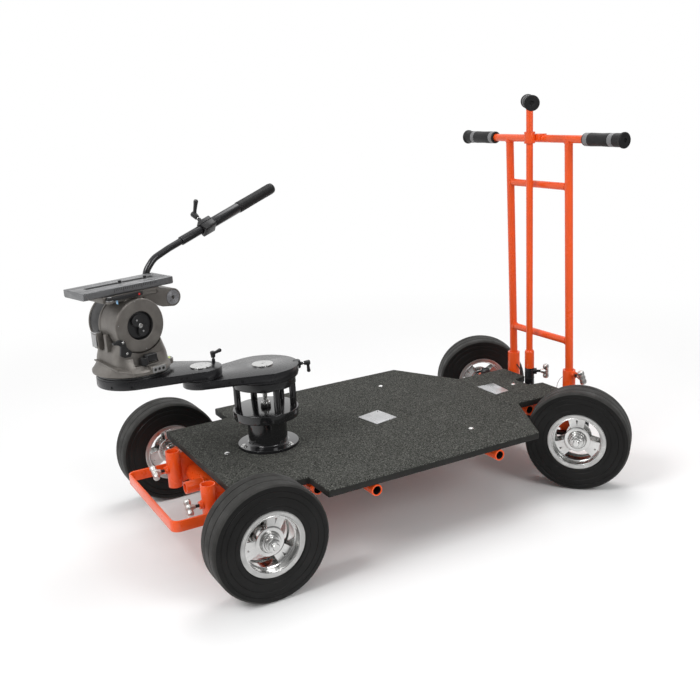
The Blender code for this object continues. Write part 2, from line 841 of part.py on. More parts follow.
def make_rear_beam(root):
    """A box beam between the kingpins, with a fork at each end and a bush for the column."""
    y = REAR_AXLE_Y
    half = KNUCKLE_HALF_HEIGHT
    outer = half + GAP + YOKE_THICKNESS
    low = WHEEL_RADIUS - half + 0.008
    high = WHEEL_RADIUS + half - 0.008
    beam = block(
        "rear_beam",
        (-BEAM_HALF, y - BEAM_DEPTH / 2, low),
        (BEAM_HALF, y + BEAM_DEPTH / 2, high),
        ORANGE,
        root,
        0.003,
    )
    pieces = []
    holes = []
    for side, sign in (("near", 1), ("far", -1)):
        x = sign * KINGPIN_X
        inner = BEAM_HALF - 0.045
        ear = arc((KINGPIN_X, y), YOKE_RADIUS, -90, 90, 6)
        ear += [(inner, y + YOKE_RADIUS), (inner, y - YOKE_RADIUS)]
        outline = [(sign * across, along) for across, along in ear]
        for level, start, end in (
            ("top", WHEEL_RADIUS + half + GAP, WHEEL_RADIUS + outer),
            ("bottom", WHEEL_RADIUS - outer, WHEEL_RADIUS - half - GAP),
        ):
            pieces.append(prism(f"yoke_{level}_{side}", outline, start, end, ORANGE, root))
        web = block(
            f"yoke_web_{side}",
            (sign * inner - 0.010 + sign * 0.011, y - 0.012, WHEEL_RADIUS - outer + 0.001),
            (sign * inner + 0.010 + sign * 0.011, y + 0.012, WHEEL_RADIUS + outer - 0.001),
            ORANGE,
            root,
        )
        pieces.append(web)
        holes.append(
            rod(
                f"kingpin_hole_{side}",
                KINGPIN_RADIUS + GAP,
                WHEEL_RADIUS - 2 * outer,
                WHEEL_RADIUS + 2 * outer,
                ORANGE,
                root,
                "Z",
                (x, y, 0),
            )
        )
    holes.append(
        rod(
            "column_bush",
            clear_of(COLUMN_RADIUS),
            low - 0.05,
            high + 0.05,
            ORANGE,
            root,
            "Z",
            (0, COLUMN_Y, 0),
        )
    )
    fuse(beam, *pieces)
    cut(beam, *holes)
    for side, sign in (("near", 1), ("far", -1)):
        x = sign * KINGPIN_X
        turned(
            f"kingpin_{side}",
            [
                (0.0, WHEEL_RADIUS - outer - 0.006),
                (0.013, WHEEL_RADIUS - outer - 0.006),
                (0.013, WHEEL_RADIUS - outer - GAP),
                (KINGPIN_RADIUS, WHEEL_RADIUS - outer - GAP),
                (KINGPIN_RADIUS, WHEEL_RADIUS + outer + GAP),
                (0.014, WHEEL_RADIUS + outer + GAP),
                (0.014, WHEEL_RADIUS + outer + 0.011),
                (0.010, WHEEL_RADIUS + outer + 0.016),
                (0.0, WHEEL_RADIUS + outer + 0.018),
            ],
            BLACK_PLASTIC,
            root,
            "Z",
            (x, y, 0),
            TUBE_SIDES,
        )


def make_rear_sockets(root):
    """The two upright sockets that hold the push bar, and the clamp screw on the near one."""
    boss_z = REAR_SOCKET_TOP - 0.011
    boss_face = POST_X + SOCKET_RADIUS + BOSS_HEIGHT
    for side, sign in (("near", 1), ("far", -1)):
        place = (sign * POST_X, POST_FOOT_Y, 0)
        socket = rod(
            f"rear_socket_{side}",
            SOCKET_RADIUS,
            REAR_SOCKET_BOTTOM,
            REAR_SOCKET_TOP,
            ORANGE,
            root,
            "Z",
            place,
        )
        if side == "near":
            boss = rod(
                "rear_boss",
                BOSS_RADIUS,
                POST_X,
                boss_face,
                ORANGE,
                root,
                "X",
                (0, POST_FOOT_Y, boss_z),
                SMALL_SIDES,
            )
            fuse(socket, boss, solver="MANIFOLD")
        bore = rod(
            f"rear_bore_{side}",
            clear_of(POST_RADIUS),
            REAR_SOCKET_BOTTOM + 0.006,
            REAR_SOCKET_TOP + 0.01,
            ORANGE,
            root,
            "Z",
            place,
        )
        drain = rod(
            f"rear_drain_{side}",
            0.004,
            REAR_SOCKET_BOTTOM - 0.01,
            REAR_SOCKET_BOTTOM + 0.02,
            ORANGE,
            root,
            "Z",
            place,
            SMALL_SIDES,
        )
        cut(socket, bore, drain, solver="MANIFOLD")
        if side == "near":
            screw_hole = rod(
                "rear_screw_hole",
                clear_of(SCREW_RADIUS, SMALL_SIDES),
                POST_X,
                boss_face + 0.01,
                ORANGE,
                root,
                "X",
                (0, POST_FOOT_Y, boss_z),
                SMALL_SIDES,
            )
            cut(socket, screw_hole, solver="MANIFOLD")
    holder = pivot("push_bar_clamp_axis", root, (boss_face, POST_FOOT_Y, boss_z))
    make_clamp_screw("push_bar_clamp_screw", holder, 0.026, 20)


def make_knuckle(root, side, sign, turn):
    """A steering knuckle: a sleeve on the kingpin, the stub axle and the steering arm."""
    y = REAR_AXLE_Y
    axis = pivot(
        f"knuckle_{side}_axis",
        root,
        (sign * KINGPIN_X, y, WHEEL_RADIUS),
        turn if sign > 0 else 180 + turn,
    )
    half = KNUCKLE_HALF_HEIGHT
    hub = TYRE_WIDTH / 2 - RIM_RECESS - HUB_STANDOUT
    sleeve = rod(
        f"steering_knuckle_{side}", KNUCKLE_RADIUS, -half, half, BLACK_METAL, axis, "Z"
    )
    shaft = turned(
        f"stub_axle_{side}",
        axle_profile(0.008, STUB_LENGTH - hub - GAP, STUB_LENGTH),
        STEEL,
        axis,
        "X",
        sides=SMALL_SIDES,
    )
    nut, thread = axle_end(f"stub_axle_{side}", STUB_LENGTH, axis)
    # The arm reaches to the front on both sides, which is +Y for the mirrored far knuckle.
    reach = -KNUCKLE_ARM_REACH * sign
    tip = (-KNUCKLE_ARM_INSET, reach)
    along = Vector(tip).normalized()
    across = Vector((-along.y, along.x)) * LINK_EYE_RADIUS
    heading = math.degrees(math.atan2(along.y, along.x))
    outline = arc(tip, LINK_EYE_RADIUS, heading - 90, heading + 90, 4)
    outline += [(across.x, across.y), (-across.x, -across.y)]
    low = -half
    arm = prism(f"steering_arm_{side}", outline, low, low + LINK_THICKNESS, BLACK_METAL, axis)
    bore = rod(
        f"knuckle_bore_{side}",
        clear_of(KINGPIN_RADIUS),
        -half - 0.01,
        half + 0.01,
        BLACK_METAL,
        axis,
        "Z",
    )
    eye = rod(
        f"knuckle_eye_{side}",
        clear_of(LINK_PIN_RADIUS, SMALL_SIDES),
        low - 0.01,
        low + 0.02,
        BLACK_METAL,
        axis,
        "Z",
        (*tip, 0),
        SMALL_SIDES,
    )
    fuse(sleeve, shaft, nut, thread, arm)
    cut(sleeve, bore, eye)
    make_wheel(f"rear_wheel_{side}", axis, (STUB_LENGTH, 0, 0))


def grip_profile(length, radius, flange, bore):
    """A handlebar grip from its inner end to its flanged outer end, open for the bar."""
    return [
        (bore, 0.0),
        (radius, 0.001),
        (radius, length - 0.010),
        (flange, length - 0.006),
        (flange, length - 0.001),
        (0.0, length),
        (0.0, length - 0.004),
        (bore, length - 0.004),
    ]


def make_steering(root):
    """The tiller and its column, the black cup that it is clamped in, and the linkage under it."""
    axis = pivot("steering_axis", root, (0, COLUMN_Y, 0), TILLER_TURN)
    column = rod(
        "steering_column",
        COLUMN_RADIUS,
        SLEEVE_BOTTOM - 0.030,
        TILLER_HEIGHT,
        ORANGE,
        axis,
        "Z",
    )
    sleeve = rod("column_sleeve", SLEEVE_RADIUS, SLEEVE_BOTTOM + GAP, SLEEVE_TOP, ORANGE, axis, "Z")
    cross = rod(
        "tiller_tube",
        HANDLEBAR_RADIUS,
        -TILLER_HALF + 0.006,
        TILLER_HALF - 0.006,
        ORANGE,
        axis,
        "X",
        (0, 0, TILLER_HEIGHT),
    )
    fuse(column, sleeve, cross)
    for side, turn in (("near", 0), ("far", 180)):
        holder = pivot(f"tiller_{side}", axis, (0, 0, TILLER_HEIGHT), turn)
        turned(
            f"tiller_grip_{side}",
            grip_profile(GRIP_LENGTH, GRIP_RADIUS, GRIP_FLANGE_RADIUS, HANDLEBAR_RADIUS + GAP),
            BLACK_PLASTIC,
            holder,
            "X",
            (TILLER_HALF - GRIP_LENGTH, 0, 0),
            TUBE_SIDES,
        )
    beam_low = WHEEL_RADIUS - KNUCKLE_HALF_HEIGHT + 0.008
    plate_top = WHEEL_RADIUS - KNUCKLE_HALF_HEIGHT
    shaft = rod(
        "pitman_shaft",
        COLUMN_RADIUS,
        plate_top - LINK_THICKNESS,
        CUP_BOTTOM + 0.01,
        BLACK_METAL,
        axis,
        "Z",
    )
    cup = rod("column_cup", SLEEVE_RADIUS, CUP_BOTTOM, SLEEVE_BOTTOM, BLACK_METAL, axis, "Z")
    collar = rod(
        "column_thrust", SLEEVE_RADIUS, plate_top - LINK_THICKNESS, beam_low - GAP, BLACK_METAL, axis, "Z"
    )
    outline = [
        (-SLEEVE_RADIUS, 0.004),
        (-PITMAN_HALF_SPREAD - LINK_EYE_RADIUS, -PITMAN_REACH + 0.004),
    ]
    outline += arc((-PITMAN_HALF_SPREAD, -PITMAN_REACH), LINK_EYE_RADIUS, 180, 270, 3)
    outline += arc((PITMAN_HALF_SPREAD, -PITMAN_REACH), LINK_EYE_RADIUS, 270, 360, 3)
    outline += [(PITMAN_HALF_SPREAD + LINK_EYE_RADIUS, -PITMAN_REACH + 0.004), (SLEEVE_RADIUS, 0.004)]
    plate = prism(
        "pitman_plate", outline, plate_top - LINK_THICKNESS, plate_top, BLACK_METAL, axis
    )
    bore = rod(
        "cup_bore",
        COLUMN_RADIUS + GAP,
        SLEEVE_BOTTOM - 0.030 - GAP,
        SLEEVE_BOTTOM + 0.01,
        BLACK_METAL,
        axis,
        "Z",
    )
    pin_hole = rod(
        "cup_pin_hole", 0.003, -0.03, 0.03, BLACK_METAL, axis, "X", (0, 0, 0.2005), SMALL_SIDES
    )
    boss_face = SLEEVE_RADIUS + BOSS_HEIGHT
    boss = rod(
        "cup_boss", BOSS_RADIUS, 0, boss_face, BLACK_METAL, axis, "Y", (0, 0, CUP_SCREW_Z), SMALL_SIDES
    )
    screw_hole = rod(
        "cup_screw_hole",
        clear_of(SCREW_RADIUS, SMALL_SIDES),
        0.001,
        boss_face + 0.01,
        BLACK_METAL,
        axis,
        "Y",
        (0, 0, CUP_SCREW_Z),
        SMALL_SIDES,
    )
    pins = []
    for side, sign in (("near", 1), ("far", -1)):
        pins.append(
            rod(
                f"link_pin_{side}",
                LINK_PIN_RADIUS,
                plate_top - 2 * LINK_THICKNESS - 0.003,
                plate_top - 0.001,
                BLACK_METAL,
                axis,
                "Z",
                (sign * PITMAN_HALF_SPREAD, -PITMAN_REACH, 0),
                SMALL_SIDES,
            )
        )
    fuse(shaft, cup, collar, plate, boss, *pins)
    cut(shaft, bore, pin_hole, screw_hole)
    holder = pivot("column_clamp_axis", axis, (0, boss_face, CUP_SCREW_Z), 90)
    make_clamp_screw("column_clamp_screw", holder, 0.025, 0)
    make_tie_rods(axis, plate_top - LINK_THICKNESS - GAP)


def make_tie_rods(steering, top):
    """The two rods from the pitman plate to the knuckles. Each is carried on the plate's pin; its
    outer eye lies free under the knuckle's arm."""
    for side, sign, turn in (("near", 1, NEAR_WHEEL_TURN), ("far", -1, FAR_WHEEL_TURN)):
        spin = Matrix.Rotation(math.radians(TILLER_TURN), 4, "Z")
        inner = Vector((0, COLUMN_Y, 0)) + spin @ Vector(
            (sign * PITMAN_HALF_SPREAD, -PITMAN_REACH, 0)
        )
        wheel_spin = Matrix.Rotation(math.radians(turn), 4, "Z")
        outer = Vector((sign * KINGPIN_X, REAR_AXLE_Y, 0)) + wheel_spin @ Vector(
            (-sign * KNUCKLE_ARM_INSET, -KNUCKLE_ARM_REACH, 0)
        )
        reach = outer - inner
        heading = math.degrees(math.atan2(reach.y, reach.x)) - TILLER_TURN
        axis = pivot(
            f"tie_rod_{side}_axis",
            steering,
            (sign * PITMAN_HALF_SPREAD, -PITMAN_REACH, top - LINK_THICKNESS / 2),
            heading,
        )
        length = reach.length
        half = LINK_THICKNESS / 2
        outline = arc((0, 0), LINK_EYE_RADIUS, 40, 320, 6)
        outline += arc((length, 0), LINK_EYE_RADIUS, -140, 140, 6)
        link = prism(f"tie_rod_{side}", outline, -half, half, BLACK_METAL, axis)
        holes = [
            rod(
                f"tie_rod_eye_{side}_{end}",
                clear_of(LINK_PIN_RADIUS, SMALL_SIDES),
                -2 * half,
                2 * half,
                BLACK_METAL,
                axis,
                "Z",
                (x, 0, 0),
                SMALL_SIDES,
            )
            for end, x in (("inner", 0.0), ("outer", length))
        ]
        cut(link, *holes)


def make_push_bar(root):
    """The push bar: two posts, two rungs and the handlebar, with the column's collar in front."""
    axis = pivot("push_bar_axis", root, (0, POST_FOOT_Y, REAR_SOCKET_TOP))
    bar = rod(
        "push_bar_frame",
        HANDLEBAR_RADIUS,
        -HANDLEBAR_HALF + 0.006,
        HANDLEBAR_HALF - 0.006,
        ORANGE,
        axis,
        "X",
        (0, POST_TOP_Y - POST_FOOT_Y, HANDLEBAR_HEIGHT - REAR_SOCKET_TOP),
    )
    foot = REAR_SOCKET_BOTTOM + 0.006 + GAP - REAR_SOCKET_TOP
    head = HANDLEBAR_HEIGHT - REAR_SOCKET_TOP
    lean = POST_TOP_Y - POST_FOOT_Y
    pieces = []
    for sign in (1, -1):
        x = sign * POST_X
        path = [(x, 0, foot), (x, 0, 0.012), (x, lean, head)]
        pieces.append(bent_tube(f"push_post_{sign}", path, POST_RADIUS, ORANGE, axis))
    for name, height in (("upper_rung", UPPER_RUNG_HEIGHT), ("lower_rung", LOWER_RUNG_HEIGHT)):
        share = (height - REAR_SOCKET_TOP) / head
        pieces.append(
            rod(
                name,
                RUNG_RADIUS,
                -POST_X,
                POST_X,
                ORANGE,
                axis,
                "X",
                (0, lean * share, height - REAR_SOCKET_TOP),
                SMALL_SIDES,
            )
        )
    column = (0, COLUMN_Y - POST_FOOT_Y, 0)
    collar = rod(
        "column_collar",
        COLUMN_RADIUS + 0.005,
        head - COLLAR_HEIGHT / 2 + 0.004,
        head + COLLAR_HEIGHT / 2 + 0.004,
        ORANGE,
        axis,
        "Z",
        column,
    )
    strap = block(
        "collar_strap",
        (-0.014, column[1] + 0.004, head - 0.005),
        (0.030, lean, head + 0.008),
        ORANGE,
        axis,
    )
    hole = rod(
        "collar_hole",
        clear_of(COLUMN_RADIUS),
        head - 0.05,
        head + 0.05,
        ORANGE,
        axis,
        "Z",
        column,
    )
    fuse(bar, *pieces, collar, strap)
    cut(bar, hole)
    for side, turn in (("near", 0), ("far", 180)):
        holder = pivot(f"push_{side}", axis, (0, lean, head), turn)
        turned(
            f"push_grip_{side}",
            grip_profile(PUSH_GRIP_LENGTH, GRIP_RADIUS, GRIP_FLANGE_RADIUS, HANDLEBAR_RADIUS + GAP),
            BLACK_PLASTIC,
            holder,
            "X",
            (HANDLEBAR_HALF - PUSH_GRIP_LENGTH, 0, 0),
            TUBE_SIDES,
        )


def turret_levels():
    """Heights up the turret: foot, ring, posts, housing and the two arms."""
    foot = DECK_HEIGHT + GAP
    ring = foot + TURRET_FLANGE_THICKNESS + TURRET_COLUMN_HEIGHT + GAP
    posts = ring + RING_THICKNESS
    housing = posts + CAGE_POST_HEIGHT
    lower_arm = housing + HOUSING_HEIGHT + GAP
    upper_arm = lower_arm + LOWER_SPACER_HEIGHT + ARM_THICKNESS + GAP
    adapter = upper_arm + UPPER_SPACER_HEIGHT + ARM_THICKNESS
    head = adapter + ADAPTER_HEIGHT + GAP
    return foot, ring, posts, housing, lower_arm, upper_arm, adapter, head


def tilt_height():
    return turret_levels()[7] + TILT_RISE


def make_turret(root):
    """The black tower on the deck: a flanged column, and a cage of posts with the arm's bearing
    housing on top. One post of six is left out, where a hand reaches in to the tie-down."""
    foot, ring, posts, housing, lower_arm = turret_levels()[:5]
    place = (0, TURRET_Y, 0)
    flange_top = foot + TURRET_FLANGE_THICKNESS
    turned(
        "turret_column",
        [
            (0.0, foot),
            (TURRET_FLANGE_RADIUS, foot),
            (TURRET_FLANGE_RADIUS, flange_top - 0.001),
            (TURRET_FLANGE_RADIUS - 0.001, flange_top),
            (TURRET_COLUMN_RADIUS + 0.005, flange_top),
            (TURRET_COLUMN_RADIUS, flange_top + 0.005),
            (TURRET_COLUMN_RADIUS, ring - GAP),
            (0.0, ring - GAP),
        ],
        BLACK_METAL,
        root,
        "Z",
        place,
    )
    cage = turned(
        "turret_cage",
        [
            (0.0, ring),
            (RING_RADIUS, ring),
            (RING_RADIUS, posts - 0.002),
            (RING_RADIUS - 0.002, posts),
            (0.0, posts),
        ],
        BLACK_METAL,
        root,
        "Z",
        place,
    )
    for i in range(CAGE_POSTS):
        bearing = math.radians(CAGE_POST_START + CAGE_POST_STEP * i)
        x = CAGE_POST_CIRCLE * math.cos(bearing)
        y = TURRET_Y + CAGE_POST_CIRCLE * math.sin(bearing)
        post = rod(
            f"cage_post_{i}",
            CAGE_POST_RADIUS,
            posts - 0.003,
            housing + 0.007,
            BLACK_METAL,
            root,
            "Z",
            (x, y, 0),
            POST_SIDES,
        )
        fuse(cage, post)
    top = lower_arm - GAP
    seat = clear_of(BEARING_RADIUS, ROUND)
    shaft_hole = clear_of(TIE_DOWN_RADIUS, ROUND)
    fuse(
        cage,
        turned(
            "bearing_housing",
            [
                (shaft_hole, housing - 0.020),
                (0.018, housing - 0.020),
                (0.022, housing - 0.004),
                (HOUSING_RADIUS - 0.006, housing),
                (HOUSING_RADIUS, housing + 0.005),
                (HOUSING_RADIUS, top),
                (seat, top),
                (seat, housing + BEARING_FLOOR),
                (shaft_hole, housing + BEARING_FLOOR),
            ],
            BLACK_METAL,
            root,
            "Z",
            place,
        ),
    )
    tube(
        "turret_bearing",
        BEARING_RADIUS,
        clear_of(SPINDLE_RADIUS),
        housing + BEARING_FLOOR + GAP,
        top - 0.001,
        STEEL,
        root,
        "Z",
        place,
    )
    axis = pivot("tie_down_axis", root, (0, TURRET_Y, posts))
    turned(
        "tie_down_knob",
        [
            (0.0, GAP),
            (TIE_DOWN_KNOB_RADIUS, GAP),
            (TIE_DOWN_KNOB_RADIUS, 0.006),
            (0.009, 0.0075),
            (0.009, 0.013),
            (TIE_DOWN_RADIUS, 0.014),
            (TIE_DOWN_RADIUS, CAGE_POST_HEIGHT - 0.006),
            (0.0, CAGE_POST_HEIGHT - 0.006),
        ],
        STEEL,
        axis,
        "Z",
        sides=TUBE_SIDES,
    )


def make_lower_arm(root):
    """The lower arm turns on the turret on its spindle and carries the upper arm's pin."""
    low, upper = turret_levels()[4:6]
    slab = low + LOWER_SPACER_HEIGHT
    top = slab + ARM_THICKNESS
    axis = pivot("lower_arm_axis", root, (0, TURRET_Y, 0), LOWER_ARM_TURN)
    arm = prism(
        "lower_arm", teardrop(LOWER_ARM_BIG, LOWER_ARM_SMALL, ARM_LENGTH), slab, top, BLACK_METAL, axis
    )
    spacer = rod(
        "turret_spacer", LOWER_SPACER_RADIUS, low, slab + 0.002, BLACK_METAL, axis, "Z", sides=ROUND
    )
    spindle = rod(
        "arm_spindle",
        SPINDLE_RADIUS,
        low - HOUSING_HEIGHT + BEARING_FLOOR + GAP,
        slab + 0.004,
        BLACK_METAL,
        axis,
        "Z",
    )
    cap = rod(
        "lower_arm_cap",
        ARM_CAP_RADIUS,
        top - 0.002,
        top + ARM_CAP_HEIGHT,
        STEEL,
        axis,
        "Z",
    )
    pin = rod(
        "elbow_pin",
        PIVOT_RADIUS,
        top - 0.002,
        upper + 0.018,
        STEEL,
        axis,
        "Z",
        (ARM_LENGTH, 0, 0),
    )
    spoke = pivot("lower_arm_spoke", axis, (0, 0, slab + ARM_THICKNESS / 2), LOWER_LEVER_ANGLE)
    face = LOWER_ARM_BIG + 0.006
    boss = rod(
        "arm_clamp_boss",
        BOSS_RADIUS,
        LOWER_ARM_BIG - 0.012,
        face,
        BLACK_METAL,
        spoke,
        "X",
        sides=SMALL_SIDES,
    )
    hole = rod(
        "arm_clamp_hole",
        clear_of(SCREW_RADIUS, SMALL_SIDES),
        face - 0.014,
        face + 0.01,
        BLACK_METAL,
        spoke,
        "X",
        sides=SMALL_SIDES,
    )
    fuse(arm, spacer, spindle, cap, pin, boss)
    cut(arm, hole)
    holder = pivot("lower_arm_lever_axis", spoke, (face, 0, 0))
    make_ratchet_lever("lower_arm_lever", holder, "X", LOWER_LEVER_SWING)
    make_upper_arm(axis)


def make_ratchet_lever(name, holder, axis, turn):
    """A small clamping lever: its screw, hub and a cranked handle, along the holder's axis."""
    screw = rod(name, SCREW_RADIUS, -0.011, 0.012, BLACK_PLASTIC, holder, axis, sides=SMALL_SIDES)
    hub = turned(
        name + "_hub",
        [(0.0, 0.008), (0.006, 0.008), (0.0065, 0.022), (0.0, 0.024)],
        BLACK_PLASTIC,
        holder,
        axis,
        sides=SMALL_SIDES,
    )
    swing = math.radians(turn)
    points = [(0.0, 0.018), (0.010, 0.022), (0.026, 0.030)]
    path = []
    for out, along in points:
        sideways = (out * math.cos(swing), out * math.sin(swing))
        if axis == "Z":
            path.append((*sideways, along))
        else:
            path.append((along, *sideways))
    handle = bent_tube(name + "_handle", path, 0.0042, BLACK_PLASTIC, holder, 1)
    return fuse(screw, hub, handle)


def make_upper_arm(lower_axis):
    """The upper arm turns on the elbow pin and carries the head on its big end."""
    low, adapter, head = turret_levels()[5:8]
    axis = pivot("upper_arm_axis", lower_axis, (ARM_LENGTH, 0, 0), UPPER_ARM_TURN)
    outline = [(ARM_LENGTH - x, y) for x, y in teardrop(UPPER_ARM_BIG, UPPER_ARM_SMALL, ARM_LENGTH)]
    slab = low + UPPER_SPACER_HEIGHT
    arm = prism("upper_arm", list(reversed(outline)), slab, adapter, BLACK_METAL, axis)
    spacer = rod("elbow_spacer", UPPER_SPACER_RADIUS, low, slab + 0.002, BLACK_METAL, axis, "Z", sides=ROUND)
    cap = rod(
        "upper_arm_cap",
        ARM_CAP_RADIUS,
        adapter - 0.002,
        adapter + ARM_CAP_HEIGHT,
        STEEL,
        axis,
        "Z",
    )
    disc = rod(
        "head_adapter",
        ADAPTER_RADIUS,
        adapter - 0.002,
        head - GAP,
        BLACK_METAL,
        axis,
        "Z",
        (ARM_LENGTH, 0, 0),
        ROUND,
    )
    seat = rod(
        "elbow_seat", clear_of(PIVOT_RADIUS), low - 0.01, low + 0.018 + GAP, BLACK_METAL, axis, "Z"
    )
    bearing = math.radians(UPPER_LEVER_ANGLE)
    lever_x = UPPER_LEVER_CIRCLE * math.cos(bearing)
    lever_y = UPPER_LEVER_CIRCLE * math.sin(bearing)
    hole = rod(
        "elbow_lever_hole",
        clear_of(SCREW_RADIUS, SMALL_SIDES),
        adapter - 0.014,
        adapter + 0.01,
        BLACK_METAL,
        axis,
        "Z",
        (lever_x, lever_y, 0),
        SMALL_SIDES,
    )
    fuse(arm, spacer, cap, disc)
    cut(arm, seat, hole)
    holder = pivot("upper_arm_lever_axis", axis, (lever_x, lever_y, adapter + 0.002))
    make_ratchet_lever("upper_arm_lever", holder, "Z", UPPER_LEVER_SWING)
    make_head(axis)


def loft(name, rings, finish, parent, place=(0, 0, 0)):
    """A closed skin through level rings of equal point counts, from the lowest to the highest."""
    bm = bmesh.new()
    loops = []
    for height, points in rings:
        verts = [bm.verts.new((x, y, height)) for x, y in points]
        edges = [bm.edges.new((a, b)) for a, b in zip(verts, verts[1:] + verts[:1])]
        loops.append((verts, edges))
    for (_, low), (_, high) in zip(loops, loops[1:]):
        bmesh.ops.bridge_loops(bm, edges=low + high)
    bm.faces.new(loops[0][0])
    bm.faces.new(loops[-1][0])
    bmesh.ops.translate(bm, vec=place, verts=bm.verts)
    return add(name, bm, finish, parent)


def squarish(half_x, half_y, power, count=18):
    """A superellipse: power 2 is an ellipse, and higher powers are nearer a rectangle."""
    points = []
    for i in range(count):
        angle = 2 * math.pi * i / count
        c = math.cos(angle)
        s = math.sin(angle)
        points.append(
            (
                half_x * math.copysign(abs(c) ** (2 / power), c),
                half_y * math.copysign(abs(s) ** (2 / power), s),
            )
        )
    return points


def make_head(upper_axis):
    """The fluid head: a fixed base, the pan body with its cradle, and the tilting drum."""
    base = turret_levels()[7]
    turned(
        "head_base",
        [
            (0.0, base),
            (HEAD_BASE_RADIUS - 0.001, base),
            (HEAD_BASE_RADIUS, base + 0.001),
            (HEAD_BASE_RADIUS, base + HEAD_BASE_HEIGHT),
            (SPINDLE_RADIUS, base + HEAD_BASE_HEIGHT),
            (SPINDLE_RADIUS, base + HEAD_BASE_HEIGHT + PAN_SPIGOT_HEIGHT),
            (0.0, base + HEAD_BASE_HEIGHT + PAN_SPIGOT_HEIGHT),
        ],
        BLACK_METAL,
        upper_axis,
        "Z",
        (ARM_LENGTH, 0, 0),
        ROUND,
    )
    axis = pivot("head_pan_axis", upper_axis, (ARM_LENGTH, 0, 0), HEAD_TURN)
    floor = base + HEAD_BASE_HEIGHT + GAP
    skirt = HEAD_SKIRT_RADIUS
    tilt_z = tilt_height()
    shoulder = floor + TILT_LEDGE_RISE
    crown = tilt_z - CRADLE_DROP
    rings = [
        (floor, squarish(HEAD_BASE_RADIUS, HEAD_BASE_RADIUS, 2.0)),
        (floor + 0.003, squarish(skirt, skirt, 2.0)),
        (floor + 0.0095, squarish(skirt - 0.001, skirt - 0.001, 2.0)),
        (floor + 0.0175, squarish(0.068, 0.071, 3.2)),
        (shoulder, squarish(0.0585, 0.0655, 4.5)),
        (crown, squarish(0.057, CRADLE_HALF, 5.0)),
    ]
    body = loft("head_pan_body", rings, HEAD_GREY, axis)
    cheek_x = DRUM_NEAR + 0.002
    cradle = rod(
        "drum_cradle",
        clear_of(DRUM_RADIUS, ROUND),
        -0.2,
        0.2,
        HEAD_GREY,
        axis,
        "X",
        (0, 0, tilt_z),
        ROUND,
    )
    spigot = rod(
        "pan_spigot_hole",
        clear_of(SPINDLE_RADIUS, ROUND),
        floor - 0.01,
        floor + PAN_SPIGOT_HEIGHT + GAP,
        HEAD_GREY,
        axis,
        "Z",
        sides=ROUND,
    )
    latch = block(
        "balance_latch",
        (-0.037, -0.073, tilt_z - 0.053),
        (-0.012, -0.040, tilt_z - 0.012),
        HEAD_GREY,
        axis,
        0.003,
    )
    strip = block(
        "balance_strip",
        (0.005, -0.067, tilt_z - 0.052),
        (0.016, -0.040, tilt_z - 0.012),
        HEAD_GREY,
        axis,
        0.002,
    )
    panel = prism(
        "front_panel",
        arc((0, 0), FRONT_PANEL_RADIUS, 205, 335, 8),
        floor + 0.004,
        floor + 0.016,
        HEAD_GREY,
        axis,
    )
    pod = rod(
        "level_pod",
        0.015,
        floor + 0.003,
        floor + 0.0135,
        HEAD_GREY,
        axis,
        "Z",
        (0.034, 0.0665, 0),
        TUBE_SIDES,
    )
    socket_block = block(
        "socket_block",
        (0.060, 0.007, floor + 0.001),
        (0.0845, 0.040, floor + 0.011),
        HEAD_GREY,
        axis,
        0.002,
    )
    cheek = block("near_cheek", (cheek_x, -0.12, shoulder), (0.2, 0.12, tilt_z + 0.05), HEAD_GREY, axis)
    ledge = floor + PAN_LEDGE_RISE
    pocket = block("brake_pocket", (cheek_x, -0.0325, ledge), (0.2, 0.0275, shoulder + 0.01), HEAD_GREY, axis)
    pan_place = (cheek_x + PAN_LEVER_RADIUS + GAP, -0.008, ledge + GAP)
    tilt_place = (cheek_x + GAP, -0.044, tilt_z - 0.0522)
    pan_hole = rod(
        "pan_brake_hole",
        clear_of(SCREW_RADIUS, SMALL_SIDES),
        ledge - BRAKE_PIN_LENGTH,
        ledge + 0.01,
        HEAD_GREY,
        axis,
        "Z",
        (pan_place[0], pan_place[1], 0),
        SMALL_SIDES,
    )
    tilt_hole = rod(
        "tilt_brake_hole",
        clear_of(SCREW_RADIUS, SMALL_SIDES),
        cheek_x - BRAKE_PIN_LENGTH,
        cheek_x + 0.01,
        HEAD_GREY,
        axis,
        "X",
        (0, tilt_place[1], tilt_place[2]),
        SMALL_SIDES,
    )
    fuse(body, latch, strip, panel, pod, socket_block, solver="MANIFOLD")
    cut(body, cradle, spigot, cheek, pocket, pan_hole, tilt_hole, solver="MANIFOLD")
    make_brake_levers(axis, pan_place, tilt_place)
    make_tilt(axis)


